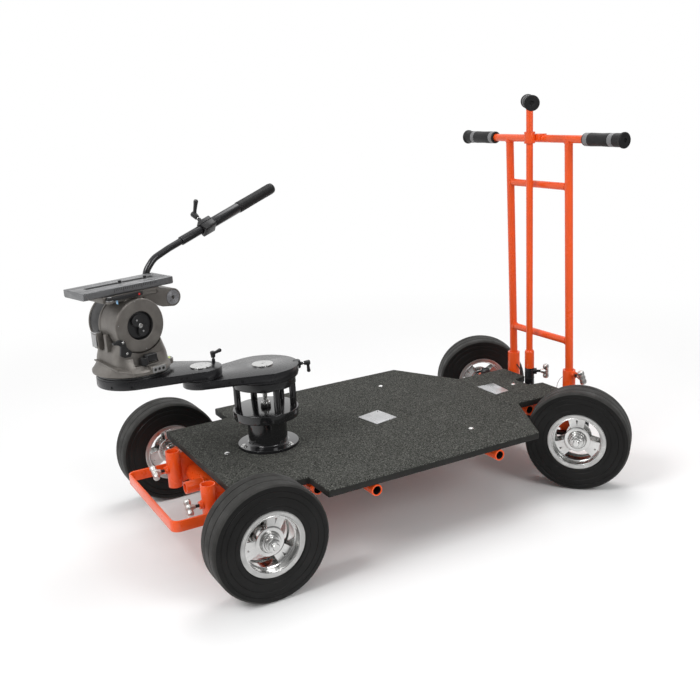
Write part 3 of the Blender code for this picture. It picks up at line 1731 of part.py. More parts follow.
def make_brake_levers(axis, pan_place, tilt_place):
    """The two black brakes low on the near side: a lying pan brake and a standing tilt brake."""
    holder = pivot("pan_brake_axis", axis, pan_place)
    lever = block(
        "pan_brake_lever", (-0.007, 0.0, 0.004), (0.007, 0.031, 0.0225), BLACK_PLASTIC, holder, 0.003
    )
    hub = rod("pan_brake_hub", PAN_LEVER_RADIUS, 0.0, 0.017, BLACK_PLASTIC, holder, "Z")
    pin = rod(
        "pan_brake_pin",
        SCREW_RADIUS,
        0.001 - BRAKE_PIN_LENGTH,
        0.006,
        BLACK_PLASTIC,
        holder,
        "Z",
        sides=SMALL_SIDES,
    )
    fuse(lever, hub, pin)
    holder = pivot("tilt_brake_axis", axis, tilt_place)
    outline = [(-0.0150, -0.0055), (0.0080, -0.0090), (0.0100, 0.0055), (-0.0173, 0.0350), (-0.0320, 0.0290)]
    # On the X axis the outline's first value is -Z and its second is Y.
    lever = prism(
        "tilt_brake_lever",
        [(-height, across) for across, height in outline],
        0.0,
        0.007,
        BLACK_PLASTIC,
        holder,
        "X",
    )
    pin = rod(
        "tilt_brake_pin",
        SCREW_RADIUS,
        0.001 - BRAKE_PIN_LENGTH,
        0.009,
        BLACK_PLASTIC,
        holder,
        "X",
        sides=SMALL_SIDES,
    )
    fuse(lever, pin)


def make_tilt(axis):
    """The tilting part: the drum with its drag knob, the platform and plate, and the pan bar."""
    tilt = pivot("tilt_axis", axis, (0, 0, tilt_height()))
    drum = turned(
        "tilt_drum",
        [
            (0.0, DRUM_FAR),
            (DRUM_RADIUS - 0.003, DRUM_FAR),
            (DRUM_RADIUS, DRUM_FAR + 0.003),
            (DRUM_RADIUS, DRUM_NEAR - 0.003),
            (DRUM_RADIUS - 0.003, DRUM_NEAR),
            (0.0, DRUM_NEAR),
        ],
        HEAD_GREY,
        tilt,
        "X",
    )
    low = PLATFORM_RISE
    top = PLATFORM_RISE + PLATFORM_THICKNESS
    neck = block("tilt_neck", (-0.036, -0.022, 0.040), (0.036, 0.022, low + 0.004), HEAD_GREY, tilt)
    platform = block(
        "platform_block",
        (-PLATFORM_HALF, PLATFORM_FRONT, low),
        (PLATFORM_HALF, PLATFORM_BACK, top),
        HEAD_GREY,
        tilt,
        0.002,
    )
    ear_z = ROSETTE_RISE
    # On the X axis the outline's first value is -Z and its second is Y.
    outline = arc((-ear_z, ROSETTE_Y), EAR_RADIUS, -5, 165, 8)
    outline += [(-low - 0.005, PLATFORM_BACK - 0.004), (-low - 0.005, 0.026)]
    outline += [(-0.0480, 0.0304), (-0.0425, 0.0480), (-0.0330, 0.0610), (-0.0250, 0.0745)]
    ear = prism("bar_ear", outline, -EAR_HALF, EAR_HALF, HEAD_GREY, tilt, "X")
    recess = rod(
        "knob_recess",
        KNOB_RADIUS + 0.001,
        DRUM_NEAR - KNOB_RECESS,
        DRUM_NEAR + 0.02,
        HEAD_GREY,
        tilt,
        "X",
        sides=ROUND,
    )
    screw_hole = rod(
        "drag_shaft_hole",
        clear_of(DRAG_SHAFT_RADIUS, SMALL_SIDES),
        DRUM_NEAR - KNOB_RECESS - 0.012,
        DRUM_NEAR,
        HEAD_GREY,
        tilt,
        "X",
        sides=SMALL_SIDES,
    )
    lug = rod(
        "plate_lock_lug",
        0.0095,
        low + 0.0005,
        top - LOCK_DROP,
        HEAD_GREY,
        tilt,
        "Z",
        (PLATFORM_HALF + LOCK_OFFSET, LOCK_Y, 0),
    )
    fuse(drum, neck, platform, ear, lug)
    cut(drum, recess, screw_hole)
    floor = DRUM_NEAR - KNOB_RECESS + GAP
    knob = rod("drag_knob", KNOB_RADIUS, floor, floor + 0.004, BLACK_PLASTIC, tilt, "X", sides=18)
    wing_outline = arc((0, 0.017), 0.009, -20, 160, 4) + arc((0, -0.017), 0.009, 160, 340, 4)
    wing = prism(
        "drag_knob_wing",
        [(x * math.cos(0.5) - y * math.sin(0.5), x * math.sin(0.5) + y * math.cos(0.5)) for x, y in wing_outline],
        floor + 0.002,
        floor + KNOB_RECESS,
        BLACK_PLASTIC,
        tilt,
        "X",
    )
    shaft = rod(
        "drag_shaft", DRAG_SHAFT_RADIUS, floor - 0.010, floor + 0.001, BLACK_PLASTIC, tilt, "X", sides=SMALL_SIDES
    )
    fuse(knob, wing, shaft)
    make_plate(tilt, top)
    make_pan_bar(tilt, ear_z)


def make_plate(tilt, top):
    """The sliding camera plate, a long dovetailed bar, and the lever that locks it."""
    low = top + GAP
    high = low + PLATE_THICKNESS
    half = PLATE_HALF_WIDTH
    start = PLATE_OFFSET - PLATE_HALF_LENGTH
    end = PLATE_OFFSET + PLATE_HALF_LENGTH
    section = [
        (-half + 0.003, low),
        (half - 0.003, low),
        (half, low + 0.003),
        (half, high - 0.001),
        (half - 0.001, high),
        (-half + 0.001, high),
        (-half, high - 0.001),
        (-half, low + 0.003),
    ]
    plate = prism(
        "camera_plate", [(x, -z) for x, z in section], start, end, PLATE_GREY, tilt, "Y"
    )
    slot = block(
        "plate_slot", (-0.0052, start + 0.030, low - 0.01), (0.0052, end - 0.030, high + 0.01), PLATE_GREY, tilt
    )
    cut(plate, slot)
    holder = pivot("plate_lock_axis", tilt, (PLATFORM_HALF + LOCK_OFFSET, LOCK_Y, top - LOCK_DROP))
    lever = block(
        "plate_lock_lever", (-0.004, 0.0, GAP), (0.005, 0.082, 0.0080), BLACK_PLASTIC, holder, 0.002
    )
    hub = rod("plate_lock_hub", 0.0065, GAP, 0.0090, BLACK_PLASTIC, holder, "Z", sides=SMALL_SIDES)
    fuse(lever, hub)


def pan_bar_path():
    """The bar's line in the plane of its own swing: up from the rosette, round a bend, and back
    towards the operator at its slope. It ends with the direction of its straight part."""
    slope = math.radians(PAN_BAR_SLOPE)
    lean = math.radians(100)
    start = Vector((0.0, 0.0))
    up = Vector((math.cos(lean), math.sin(lean)))
    corner = start + up * PAN_BAR_RISE
    along = Vector((math.cos(slope), math.sin(slope)))
    trim = PAN_BAR_BEND_RADIUS * math.tan((lean - slope) / 2)
    centre = corner - up * trim + Vector((up.y, -up.x)) * PAN_BAR_BEND_RADIUS
    bend = []
    steps = 6
    for i in range(steps + 1):
        angle = lean + math.pi / 2 - (lean - slope) * i / steps
        bend.append(centre + PAN_BAR_BEND_RADIUS * Vector((math.cos(angle), math.sin(angle))))
    finish = corner + along * (trim + PAN_BAR_LENGTH)
    return [start] + bend + [finish], along, finish


def make_pan_bar(tilt, ear_z):
    """The pan bar on the far rosette: a bent tube with a clamp, and the sliding grip end."""
    side = -PAN_BAR_PLANE
    axis = pivot("pan_bar_axis", tilt, (0, ROSETTE_Y, ear_z))
    path, along, finish = pan_bar_path()
    points = [(side, point.x, point.y) for point in path]
    bar = bent_tube("pan_bar", points, PAN_BAR_RADIUS, BLACK_METAL, axis, 3)
    rosette = rod(
        "bar_rosette",
        ROSETTE_RADIUS,
        side - 0.010,
        -EAR_HALF - GAP,
        BLACK_METAL,
        axis,
        "X",
        sides=24,
    )
    tip = (side, finish.x, finish.y)
    direction = Vector((0, along.x, along.y))
    turn = direction.to_track_quat("Z", "Y").to_matrix().to_4x4()

    def along_bar(name, profile, finish_name, parent, sides=TUBE_SIDES):
        piece = turned(name, profile, finish_name, parent, "Z", sides=sides)
        piece.data.transform(Matrix.Translation(tip) @ turn)
        return piece

    collar = along_bar(
        "bar_clamp",
        [(0.0, -0.026), (0.0115, -0.026), (0.0125, -0.022), (0.0125, -0.002), (0.0115, 0.0), (0.0, 0.0)],
        BLACK_METAL,
        axis,
        SMALL_SIDES,
    )
    bore_radius = clear_of(EXTENSION_RADIUS, SMALL_SIDES)
    bore_end = -EXTENSION_INSERT - EXTENSION_TRAVEL - GAP
    bore = along_bar(
        "bar_bore",
        [(0.0, bore_end), (bore_radius, bore_end), (bore_radius, 0.01), (0.0, 0.01)],
        BLACK_METAL,
        axis,
        SMALL_SIDES,
    )
    fuse(bar, rosette, collar, solver="MANIFOLD")
    cut(bar, bore, solver="MANIFOLD")
    grip_start = EXTENSION_LENGTH - EXTENSION_INSERT
    extension = along_bar(
        "pan_bar_grip",
        [
            (0.0, -EXTENSION_INSERT),
            (EXTENSION_RADIUS, -EXTENSION_INSERT),
            (EXTENSION_RADIUS, grip_start),
            (PAN_GRIP_RADIUS - 0.002, grip_start),
            (PAN_GRIP_RADIUS, grip_start + 0.004),
            (PAN_GRIP_RADIUS - 0.001, grip_start + PAN_GRIP_LENGTH / 2),
            (PAN_GRIP_RADIUS, grip_start + PAN_GRIP_LENGTH - 0.004),
            (PAN_GRIP_RADIUS - 0.003, grip_start + PAN_GRIP_LENGTH),
            (0.0, grip_start + PAN_GRIP_LENGTH),
        ],
        BLACK_PLASTIC,
        axis,
    )
    return extension


def centre_on_floor(root):
    """Moves the dolly so that the origin is on the floor under the middle of its outline."""
    bpy.context.view_layer.update()
    graph = bpy.context.evaluated_depsgraph_get()
    low = Vector((math.inf,) * 3)
    high = Vector((-math.inf,) * 3)
    for obj in bpy.data.objects:
        if obj.type != "MESH" or obj.hide_render:
            continue
        evaluated = obj.evaluated_get(graph)
        for vertex in evaluated.data.vertices:
            point = evaluated.matrix_world @ vertex.co
            low = Vector(map(min, low, point))
            high = Vector(map(max, high, point))
    root.location = (-(low.x + high.x) / 2, -(low.y + high.y) / 2, -low.z)
    print("floor plan moved by", [round(value, 6) for value in root.location])


def main():
    clear_scene()
    root = pivot("dolly", None, (0, 0, 0))
    make_front_axle(root)
    make_frame(root)
    make_deck(root)
    make_rear_beam(root)
    make_rear_sockets(root)
    make_knuckle(root, "near", 1, NEAR_WHEEL_TURN)
    make_knuckle(root, "far", -1, FAR_WHEEL_TURN)
    make_steering(root)
    make_push_bar(root)
    make_turret(root)
    make_lower_arm(root)
    centre_on_floor(root)


main()
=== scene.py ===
# %% [markdown]
# # A doorway dolly, dressed for its portrait
#
# The frame below is the measured CAD model of a doorway dolly: a carpeted deck on four wheels, an
# orange push bar and tiller at the rear, and a two-part black arm with a fluid head at the front.
# It has every joint and every size, but it is built from few facets. This lesson dresses it: each
# cell replaces a faceted piece by a smooth one with its small details, or gives it a finish.

import math

import bmesh
import bpy
from mathutils import Matrix, Vector


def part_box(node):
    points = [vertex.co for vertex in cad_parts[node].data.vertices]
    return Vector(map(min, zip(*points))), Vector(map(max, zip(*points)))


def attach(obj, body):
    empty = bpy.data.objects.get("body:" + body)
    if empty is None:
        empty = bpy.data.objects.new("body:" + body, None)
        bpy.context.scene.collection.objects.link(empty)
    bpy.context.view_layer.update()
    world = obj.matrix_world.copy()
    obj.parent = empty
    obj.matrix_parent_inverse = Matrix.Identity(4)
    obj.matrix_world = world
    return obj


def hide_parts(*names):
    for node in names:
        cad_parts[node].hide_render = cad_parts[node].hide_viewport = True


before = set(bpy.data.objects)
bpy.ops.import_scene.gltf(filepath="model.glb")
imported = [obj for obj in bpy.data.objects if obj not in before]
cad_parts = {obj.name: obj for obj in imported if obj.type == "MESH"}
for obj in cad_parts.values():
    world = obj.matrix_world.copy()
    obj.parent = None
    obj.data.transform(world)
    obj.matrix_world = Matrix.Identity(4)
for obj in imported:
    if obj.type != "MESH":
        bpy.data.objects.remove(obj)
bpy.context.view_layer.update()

# %% [markdown]
# ## Places
#
# On the drawing board X = 0 is the dolly's centre line, Y = 0 lies midway between the axles and
# Z = 0 is the floor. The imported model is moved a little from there, so the first cross tube tells
# where the drawing's origin went. A matrix per joint then lets every piece be modelled at the
# origin, along its own axis, and carried to its place at the end.

# %% The drawing's origin and the joints' places
cross_low, cross_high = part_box("cross_tube_1")
ORIGIN = Vector(((cross_low.x + cross_high.x) / 2, (cross_low.y + cross_high.y) / 2 + 0.220, 0))
PLAN = Matrix.Translation(ORIGIN)


def spot(x, y, z, turn=0.0):
    """A place: a point, and a turn about the upright in degrees."""
    return Matrix.Translation((x, y, z)) @ Matrix.Rotation(math.radians(turn), 4, "Z")


def tip(angle, axis):
    return Matrix.Rotation(math.radians(angle), 4, axis)


ALONG = {"X": tip(90, "Y"), "-X": tip(-90, "Y"), "Y": tip(-90, "X"), "-Y": tip(90, "X"), "Z": Matrix.Identity(4)}
AXLE_Z = 0.130
FRONT_Y = -0.4805
REAR_Y = 0.4805
WHEELS = {
    "front_wheel_near": PLAN @ spot(0.311, FRONT_Y, AXLE_Z),
    "front_wheel_far": PLAN @ spot(-0.311, FRONT_Y, AXLE_Z, 180),
    "rear_wheel_near": PLAN @ spot(0.2063, REAR_Y, AXLE_Z, -48.9) @ spot(0.090, 0, 0),
    "rear_wheel_far": PLAN @ spot(-0.2063, REAR_Y, AXLE_Z, 153.0) @ spot(0.090, 0, 0),
}
STEERING = PLAN @ spot(0, 0.4765, 0, -38.0)
PUSH_BAR = PLAN @ spot(0, 0.516, 0.2545)
TURRET = PLAN @ spot(0, -0.326, 0)
LOWER_ARM = TURRET @ spot(0, 0, 0, -90)
UPPER_ARM = LOWER_ARM @ spot(0.150, 0, 0, -23)
HEAD = UPPER_ARM @ spot(0.150, 0, 0, 128)
TILT = HEAD @ spot(0, 0, 0.540)
print("drawing origin at", [round(v, 4) for v in ORIGIN])

# %% [markdown]
# ## Shaping tools
#
# Almost everything on a dolly is turned, cut from plate, or bent from tube. Turned parts are a
# profile spun round an axis, plate parts an outline pushed through its thickness, and a fillet
# takes the sharpness off every corner, because it is the rounded edge that catches the light.

# %% Outlines: fillets, circles and arcs


def fillet(points, radius=0.001, steps=3):
    """A closed outline with its corners rounded. A third value on a point is its own radius."""
    rounded = []
    count = len(points)
    for i, point in enumerate(points):
        here = Vector(point[:2])
        size = point[2] if len(point) > 2 else radius
        before = Vector(points[i - 1][:2]) - here
        after = Vector(points[(i + 1) % count][:2]) - here
        if size <= 0 or before.length < 1e-6 or after.length < 1e-6:
            rounded.append(tuple(here))
            continue
        opening = before.angle(after)
        if opening > math.radians(176):
            rounded.append(tuple(here))
            continue
        reach = min(size / math.tan(opening / 2), 0.46 * before.length, 0.46 * after.length)
        start = here + before.normalized() * reach
        finish = here + after.normalized() * reach
        for step in range(steps + 1):
            t = step / steps
            rounded.append(tuple(start * (1 - t) ** 2 + here * 2 * t * (1 - t) + finish * t * t))
    return rounded


def arc(centre, radius, start, end, steps):
    turns = [math.radians(start + (end - start) * i / steps) for i in range(steps + 1)]
    return [(centre[0] + radius * math.cos(a), centre[1] + radius * math.sin(a)) for a in turns]


def rectangle(x0, y0, x1, y1):
    return [(x0, y0), (x1, y0), (x1, y1), (x0, y1)]


print("a filleted square has", len(fillet(rectangle(0, 0, 1, 1), 0.1)), "points")

# %% Solids: turned, cut from plate, and round bars


def carried(bm, *moves):
    for move in moves:
        bmesh.ops.transform(bm, matrix=move, verts=bm.verts)
    return bm


def sealed(bm):
    bmesh.ops.remove_doubles(bm, verts=bm.verts, dist=2e-6)
    bmesh.ops.recalc_face_normals(bm, faces=bm.faces)
    return bm


def lathe(profile, steps=48, axis="Z", place=(0, 0, 0)):
    """A closed profile of (radius, height) points spun round the axis."""
    bm = bmesh.new()
    ring = [bm.verts.new((max(radius, 0.0), 0, height)) for radius, height in profile]
    for first, second in zip(ring, ring[1:] + ring[:1]):
        if max(first.co.x, second.co.x) > 1e-6:
            bm.edges.new((first, second))
    bmesh.ops.spin(
        bm, geom=bm.verts[:] + bm.edges[:], cent=(0, 0, 0), axis=(0, 0, 1), dvec=(0, 0, 0),
        angle=2 * math.pi, steps=steps, use_merge=True, use_duplicate=False,
    )
    return carried(sealed(bm), Matrix.Translation(place) @ ALONG[axis])


def bar(radius, low, high, axis="Z", place=(0, 0, 0), edge=0.0008, steps=32):
    """A round bar with softened ends."""
    outline = [(0, low, 0), (radius, low, edge), (radius, high, edge), (0, high, 0)]
    return lathe(fillet(outline), steps, axis, place)


def pipe(radius, bore, low, high, axis="Z", place=(0, 0, 0), edge=0.0006, steps=40):
    """A tube with open, softened ends."""
    outline = [(bore, low), (radius, low), (radius, high), (bore, high)]
    return lathe(fillet(outline, edge, 2), steps, axis, place)


def bead(radius, thickness, height, axis="Z", place=(0, 0, 0), steps=48):
    """A ring such as a weld or a rolled lip."""
    return lathe(arc((radius, height), thickness, 0, 330, 11), steps, axis, place)


def slab(outline, low, high, axis="Z", place=(0, 0, 0), edge=0.0007):
    """A flat outline pushed from low to high, with its two rims bevelled."""
    bm = bmesh.new()
    face = bm.faces.new([bm.verts.new((x, y, low)) for x, y in outline])
    pushed = bmesh.ops.extrude_face_region(bm, geom=[face])["geom"]
    top = [item for item in pushed if isinstance(item, bmesh.types.BMVert)]
    bmesh.ops.translate(bm, vec=(0, 0, high - low), verts=top)
    sealed(bm)
    if edge:
        rims = [e for e in bm.edges if abs(e.verts[0].co.z - e.verts[1].co.z) < 1e-7]
        bmesh.ops.bevel(
            bm, geom=rims, offset=edge, segments=2, profile=0.5, affect="EDGES", material=-1,
            offset_type="OFFSET", clamp_overlap=True,
        )
    return carried(bm, Matrix.Translation(place) @ ALONG[axis])


def brick(low, high, edge=0.001, segments=2):
    """A box between two corners with all its edges rounded."""
    bm = bmesh.new()
    bmesh.ops.create_cube(bm, size=1.0)
    bmesh.ops.scale(bm, vec=[b - a for a, b in zip(low, high)], verts=bm.verts)
    bmesh.ops.translate(bm, vec=[(a + b) / 2 for a, b in zip(low, high)], verts=bm.verts)
    if edge:
        bmesh.ops.bevel(
            bm, geom=bm.edges[:], offset=edge, segments=segments, profile=0.5, affect="EDGES", material=-1,
        )
    return bm


def rod_along(points, radius, resolution=6):
    """A round bar bent along a line of points, with closed ends."""
    curve = bpy.data.curves.new("bend", "CURVE")
    curve.dimensions = "3D"
    curve.bevel_depth = radius
    curve.bevel_resolution = resolution
    curve.use_fill_caps = True
    spline = curve.splines.new("POLY")
    spline.points.add(len(points) - 1)
    for target, point in zip(spline.points, points):
        target.co = (*point, 1.0)
    guide = bpy.data.objects.new("bend", curve)
    bpy.context.scene.collection.objects.link(guide)
    bm = bmesh.new()
    bm.from_mesh(guide.to_mesh())
    guide.to_mesh_clear()
    bpy.data.objects.remove(guide)
    bpy.data.curves.remove(curve)
    return sealed(bm)


def bent(points, radius, steps=6):
    """A line of points with its inner corners rounded to this radius."""
    line = [Vector(points[0])]
    for before, here, after in zip(points, points[1:], points[2:]):
        here = Vector(here)
        back = Vector(before) - here
        ahead = Vector(after) - here
        reach = min(radius / math.tan(back.angle(ahead) / 2), 0.48 * back.length, 0.48 * ahead.length)
        start = here + back.normalized() * reach
        finish = here + ahead.normalized() * reach
        for step in range(steps + 1):
            t = step / steps
            line.append(start * (1 - t) ** 2 + here * 2 * t * (1 - t) + finish * t * t)
    return line + [Vector(points[-1])]


def hexagon(across):
    return arc((0, 0), across / 2 / math.cos(math.radians(30)), 0, 300, 5)


print("shaping tools ready")

# %% [markdown]
# Holes and windows are cut with the Boolean modifier on throw-away objects, and what is left is
# read back into a bmesh. `make` then turns one or more shells into a finished object: it is placed,
# shaded, given its finish and tied to the CAD body it moves with, and the CAD nodes that it
# replaces are hidden.

# %% Cutting, and finishing a piece


def from_object(obj):
    graph = bpy.context.evaluated_depsgraph_get()
    bm = bmesh.new()
    bm.from_mesh(obj.evaluated_get(graph).to_mesh())
    obj.evaluated_get(graph).to_mesh_clear()
    return bm


def loose(name, bm):
    mesh = bpy.data.meshes.new(name)
    bm.to_mesh(mesh)
    bm.free()
    obj = bpy.data.objects.new(name, mesh)
    bpy.context.scene.collection.objects.link(obj)
    return obj


def carve(bm, *cutters, operation="DIFFERENCE", edge=0.0):
    """The bmesh with every cutter taken out of it, or joined to it, and its new edges bevelled."""
    work = loose("work", bm)
    tools = []
    for cutter in cutters:
        tool = loose("tool", cutter)
        modifier = work.modifiers.new("cut", "BOOLEAN")
        modifier.operation = operation
        modifier.object = tool
        modifier.solver = "EXACT"
        tools.append(tool)
    if edge:
        soften = work.modifiers.new("soften", "BEVEL")
        soften.width = edge
        soften.segments = 2
        soften.limit_method = "ANGLE"
        soften.angle_limit = math.radians(40)
    bpy.context.view_layer.update()
    result = from_object(work)
    for obj in [work, *tools]:
        mesh = obj.data
        bpy.data.objects.remove(obj)
        bpy.data.meshes.remove(mesh)
    return result


def make(name, shells, finish, body, place=PLAN, stands_for=(), angle=38):
    """A finished piece of one or more shells."""
    mesh = bpy.data.meshes.new(name)
    whole = bmesh.new()
    for shell in shells:
        part = bpy.data.meshes.new("part")
        shell.to_mesh(part)
        shell.free()
        whole.from_mesh(part)
        bpy.data.meshes.remove(part)
    bmesh.ops.transform(whole, matrix=place, verts=whole.verts)
    whole.to_mesh(mesh)
    whole.free()
    mesh.shade_smooth()
    mesh.set_sharp_from_angle(angle=math.radians(angle))
    mesh.materials.append(finish)
    obj = bpy.data.objects.new(name, mesh)
    bpy.context.scene.collection.objects.link(obj)
    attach(obj, body)
    if stands_for:
        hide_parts(*stands_for)
    obj.data.calc_loop_triangles()
    print(f"{name}: {len(obj.data.loop_triangles)} triangles, moves with {body}")
    return obj


# %% [markdown]
# ## Finishes
#
# Nothing that has been wheeled round a film set is one even colour. Four shader groups hold what
# the finishes share: how a handled surface varies, the pile of a carpet, the rings that a lathe
# leaves, and the pebbles of a hammered enamel. They put out masks and heights only; the shader and
# its plain numbers stay in each material.

# %% A builder for shader groups


def new_group(name, inputs, outputs):
    """A shader group, its input and output nodes, and a function that adds a node to it."""
    tree = bpy.data.node_groups.new(name, "ShaderNodeTree")
    for label, kind, value in inputs:
        socket = tree.interface.new_socket(label, in_out="INPUT", socket_type=kind)
        if value is not None:
            socket.default_value = value
    for label in outputs:
        tree.interface.new_socket(label, in_out="OUTPUT", socket_type="NodeSocketFloat")
    return tree, tree.nodes.new("NodeGroupInput"), tree.nodes.new("NodeGroupOutput")


def node(tree, kind, settings=None, **sockets):
    """A node with its settings, and each named socket linked or given a value."""
    made = tree.nodes.new(kind)
    for key, value in (settings or {}).items():
        setattr(made, key, value)
    for key, value in sockets.items():
        place = int(key[1:]) if key[0] == "i" and key[1:].isdigit() else key.replace("_", " ")
        if isinstance(value, bpy.types.NodeSocket):
            tree.links.new(value, made.inputs[place])
        else:
            made.inputs[place].default_value = value
    return made


def ramp(tree, source, *stops):
    """A colour ramp with (position, grey) stops."""
    made = tree.nodes.new("ShaderNodeValToRGB")
    tree.links.new(source, made.inputs[0])
    while len(made.color_ramp.elements) < len(stops):
        made.color_ramp.elements.new(0.5)
    for element, (position, grey) in zip(made.color_ramp.elements, stops):
        element.position = position
        element.color = (grey, grey, grey, 1)
    return made.outputs[0]


FLOAT = "NodeSocketFloat"
VECTOR = "NodeSocketVector"

tree, inside, outside = new_group(
    "handled_surface",
    [("Vector", VECTOR, None), ("Patch", FLOAT, 14.0), ("Grain", FLOAT, 900.0), ("Scuffing", FLOAT, 0.3)],
    ["Patches", "Grain", "Scuffs"],
)
patches = node(tree, "ShaderNodeTexNoise", Vector=inside.outputs["Vector"], Scale=inside.outputs["Patch"], Detail=5.0, Roughness=0.62)
grain = node(tree, "ShaderNodeTexNoise", Vector=inside.outputs["Vector"], Scale=inside.outputs["Grain"], Detail=3.0)
stretched = node(tree, "ShaderNodeMapping", Vector=inside.outputs["Vector"], Rotation=(0.4, 0.7, 0.3), Scale=(1.0, 6.0, 1.6))
marks = node(tree, "ShaderNodeTexNoise", Vector=stretched.outputs[0], Scale=60.0, Detail=7.0, Roughness=0.7, Distortion=0.6)
sparse = ramp(tree, marks.outputs[0], (0.60, 0.0), (0.70, 1.0))
worn = node(tree, "ShaderNodeMath", {"operation": "MULTIPLY"}, i0=sparse, i1=inside.outputs["Scuffing"])
tree.links.new(ramp(tree, patches.outputs[0], (0.32, 0.0), (0.68, 1.0)), outside.inputs["Patches"])
tree.links.new(grain.outputs[0], outside.inputs["Grain"])
tree.links.new(worn.outputs[0], outside.inputs["Scuffs"])
HANDLED = tree

tree, inside, outside = new_group(
    "carpet_pile", [("Vector", VECTOR, None), ("Tuft", FLOAT, 520.0)], ["Light flecks", "Dark flecks", "Height"]
)
tufts = node(tree, "ShaderNodeTexVoronoi", Vector=inside.outputs["Vector"], Scale=inside.outputs["Tuft"], Randomness=1.0)
coarse = node(tree, "ShaderNodeTexNoise", Vector=inside.outputs["Vector"], Scale=250.0, Detail=6.0, Roughness=0.75)
split = node(tree, "ShaderNodeSeparateColor", Color=tufts.outputs["Color"])
tree.links.new(ramp(tree, split.outputs[0], (0.72, 0.0), (0.98, 1.0)), outside.inputs["Light flecks"])
tree.links.new(ramp(tree, split.outputs[1], (0.55, 0.0), (0.90, 1.0)), outside.inputs["Dark flecks"])
domes = node(tree, "ShaderNodeMath", {"operation": "SUBTRACT"}, i0=coarse.outputs[0], i1=tufts.outputs["Distance"])
tree.links.new(domes.outputs[0], outside.inputs["Height"])
PILE = tree

tree, inside, outside = new_group(
    "lathe_rings", [("Vector", VECTOR, None), ("Rings", FLOAT, 1500.0)], ["Height"]
)
radius = node(tree, "ShaderNodeVectorMath", {"operation": "LENGTH"}, i0=inside.outputs["Vector"])
spread = node(tree, "ShaderNodeMath", {"operation": "MULTIPLY"}, i0=radius.outputs["Value"], i1=inside.outputs["Rings"])
rings = node(tree, "ShaderNodeTexNoise", {"noise_dimensions": "1D"}, W=spread.outputs[0], Scale=1.0, Detail=4.0)
tree.links.new(rings.outputs[0], outside.inputs["Height"])
RINGS = tree

tree, inside, outside = new_group(
    "hammered_pebbles", [("Vector", VECTOR, None), ("Pebble", FLOAT, 700.0)], ["Height", "Tone"]
)
pebbles = node(tree, "ShaderNodeTexVoronoi", {"feature": "SMOOTH_F1"}, Vector=inside.outputs["Vector"], Scale=inside.outputs["Pebble"], Smoothness=0.6)
drift = node(tree, "ShaderNodeTexNoise", Vector=inside.outputs["Vector"], Scale=35.0, Detail=4.0)
tree.links.new(pebbles.outputs["Distance"], outside.inputs["Height"])
tree.links.new(ramp(tree, drift.outputs[0], (0.3, 0.0), (0.7, 1.0)), outside.inputs["Tone"])
PEBBLES = tree
print("shader groups:", [group.name for group in (HANDLED, PILE, RINGS, PEBBLES)])

# %% [markdown]
# One function writes the common finish: two tones of the colour in broad patches, scuffs that show
# what lies under the paint and shine differently, and a fine grain for the bump. The specials, the
# carpet and the turned metal, get their own short cells.

# %% The common finish


def start_material(name, roughness, metallic, coat=0.0, specular=0.5):
    made = bpy.data.materials.new(name)
    made.use_nodes = True
    shader = made.node_tree.nodes["Principled BSDF"]
    shader.inputs["Roughness"].default_value = roughness
    shader.inputs["Metallic"].default_value = metallic
    shader.inputs["Coat Weight"].default_value = coat
    shader.inputs["Coat Roughness"].default_value = 0.12
    shader.inputs["Specular IOR Level"].default_value = specular
    place = made.node_tree.nodes.new("ShaderNodeTexCoord").outputs["Object"]
    return made, made.node_tree, shader, place


def blend_colour(tree, factor, first, second, mode="MIX"):
    made = tree.nodes.new("ShaderNodeMix")
    made.data_type = "RGBA"
    made.blend_type = mode
    for socket, value in ((made.inputs[0], factor), (made.inputs[6], first), (made.inputs[7], second)):
        if isinstance(value, bpy.types.NodeSocket):
            tree.links.new(value, socket)
        else:
            socket.default_value = value if isinstance(value, float) else (*value, 1.0)
    return made.outputs[2]


def spread_between(tree, factor, low, high):
    made = node(tree, "ShaderNodeMapRange", i0=factor, i3=low, i4=high)
    return made.outputs[0]


def finish(
    name, colour, roughness, metallic=0.0, tone=0.82, patch=14.0, grain=900.0, bump=0.05,
    scuff=0.0, under=(0.5, 0.5, 0.5), coat=0.0, specular=0.5, swing=0.10,
):
    """A handled surface of this colour, whose darker patches are the tone times the colour."""
    made, tree, shader, place = start_material(name, roughness, metallic, coat, specular)
    surface = node(tree, "ShaderNodeGroup", {"node_tree": HANDLED}, Vector=place, Patch=patch, Grain=grain, Scuffing=scuff)
    dark = tuple(channel * tone for channel in colour)
    mixed = blend_colour(tree, surface.outputs["Patches"], dark, colour)
    if scuff:
        mixed = blend_colour(tree, surface.outputs["Scuffs"], mixed, under)
    tree.links.new(mixed, shader.inputs["Base Color"])
    rough = spread_between(tree, surface.outputs["Patches"], roughness + swing, max(roughness - swing, 0.04))
    tree.links.new(rough, shader.inputs["Roughness"])
    bumped = node(tree, "ShaderNodeBump", Height=surface.outputs["Grain"], Strength=bump, Distance=0.001)
    tree.links.new(bumped.outputs[0], shader.inputs["Normal"])
    made.diffuse_color = (*colour, 1.0)
    return made


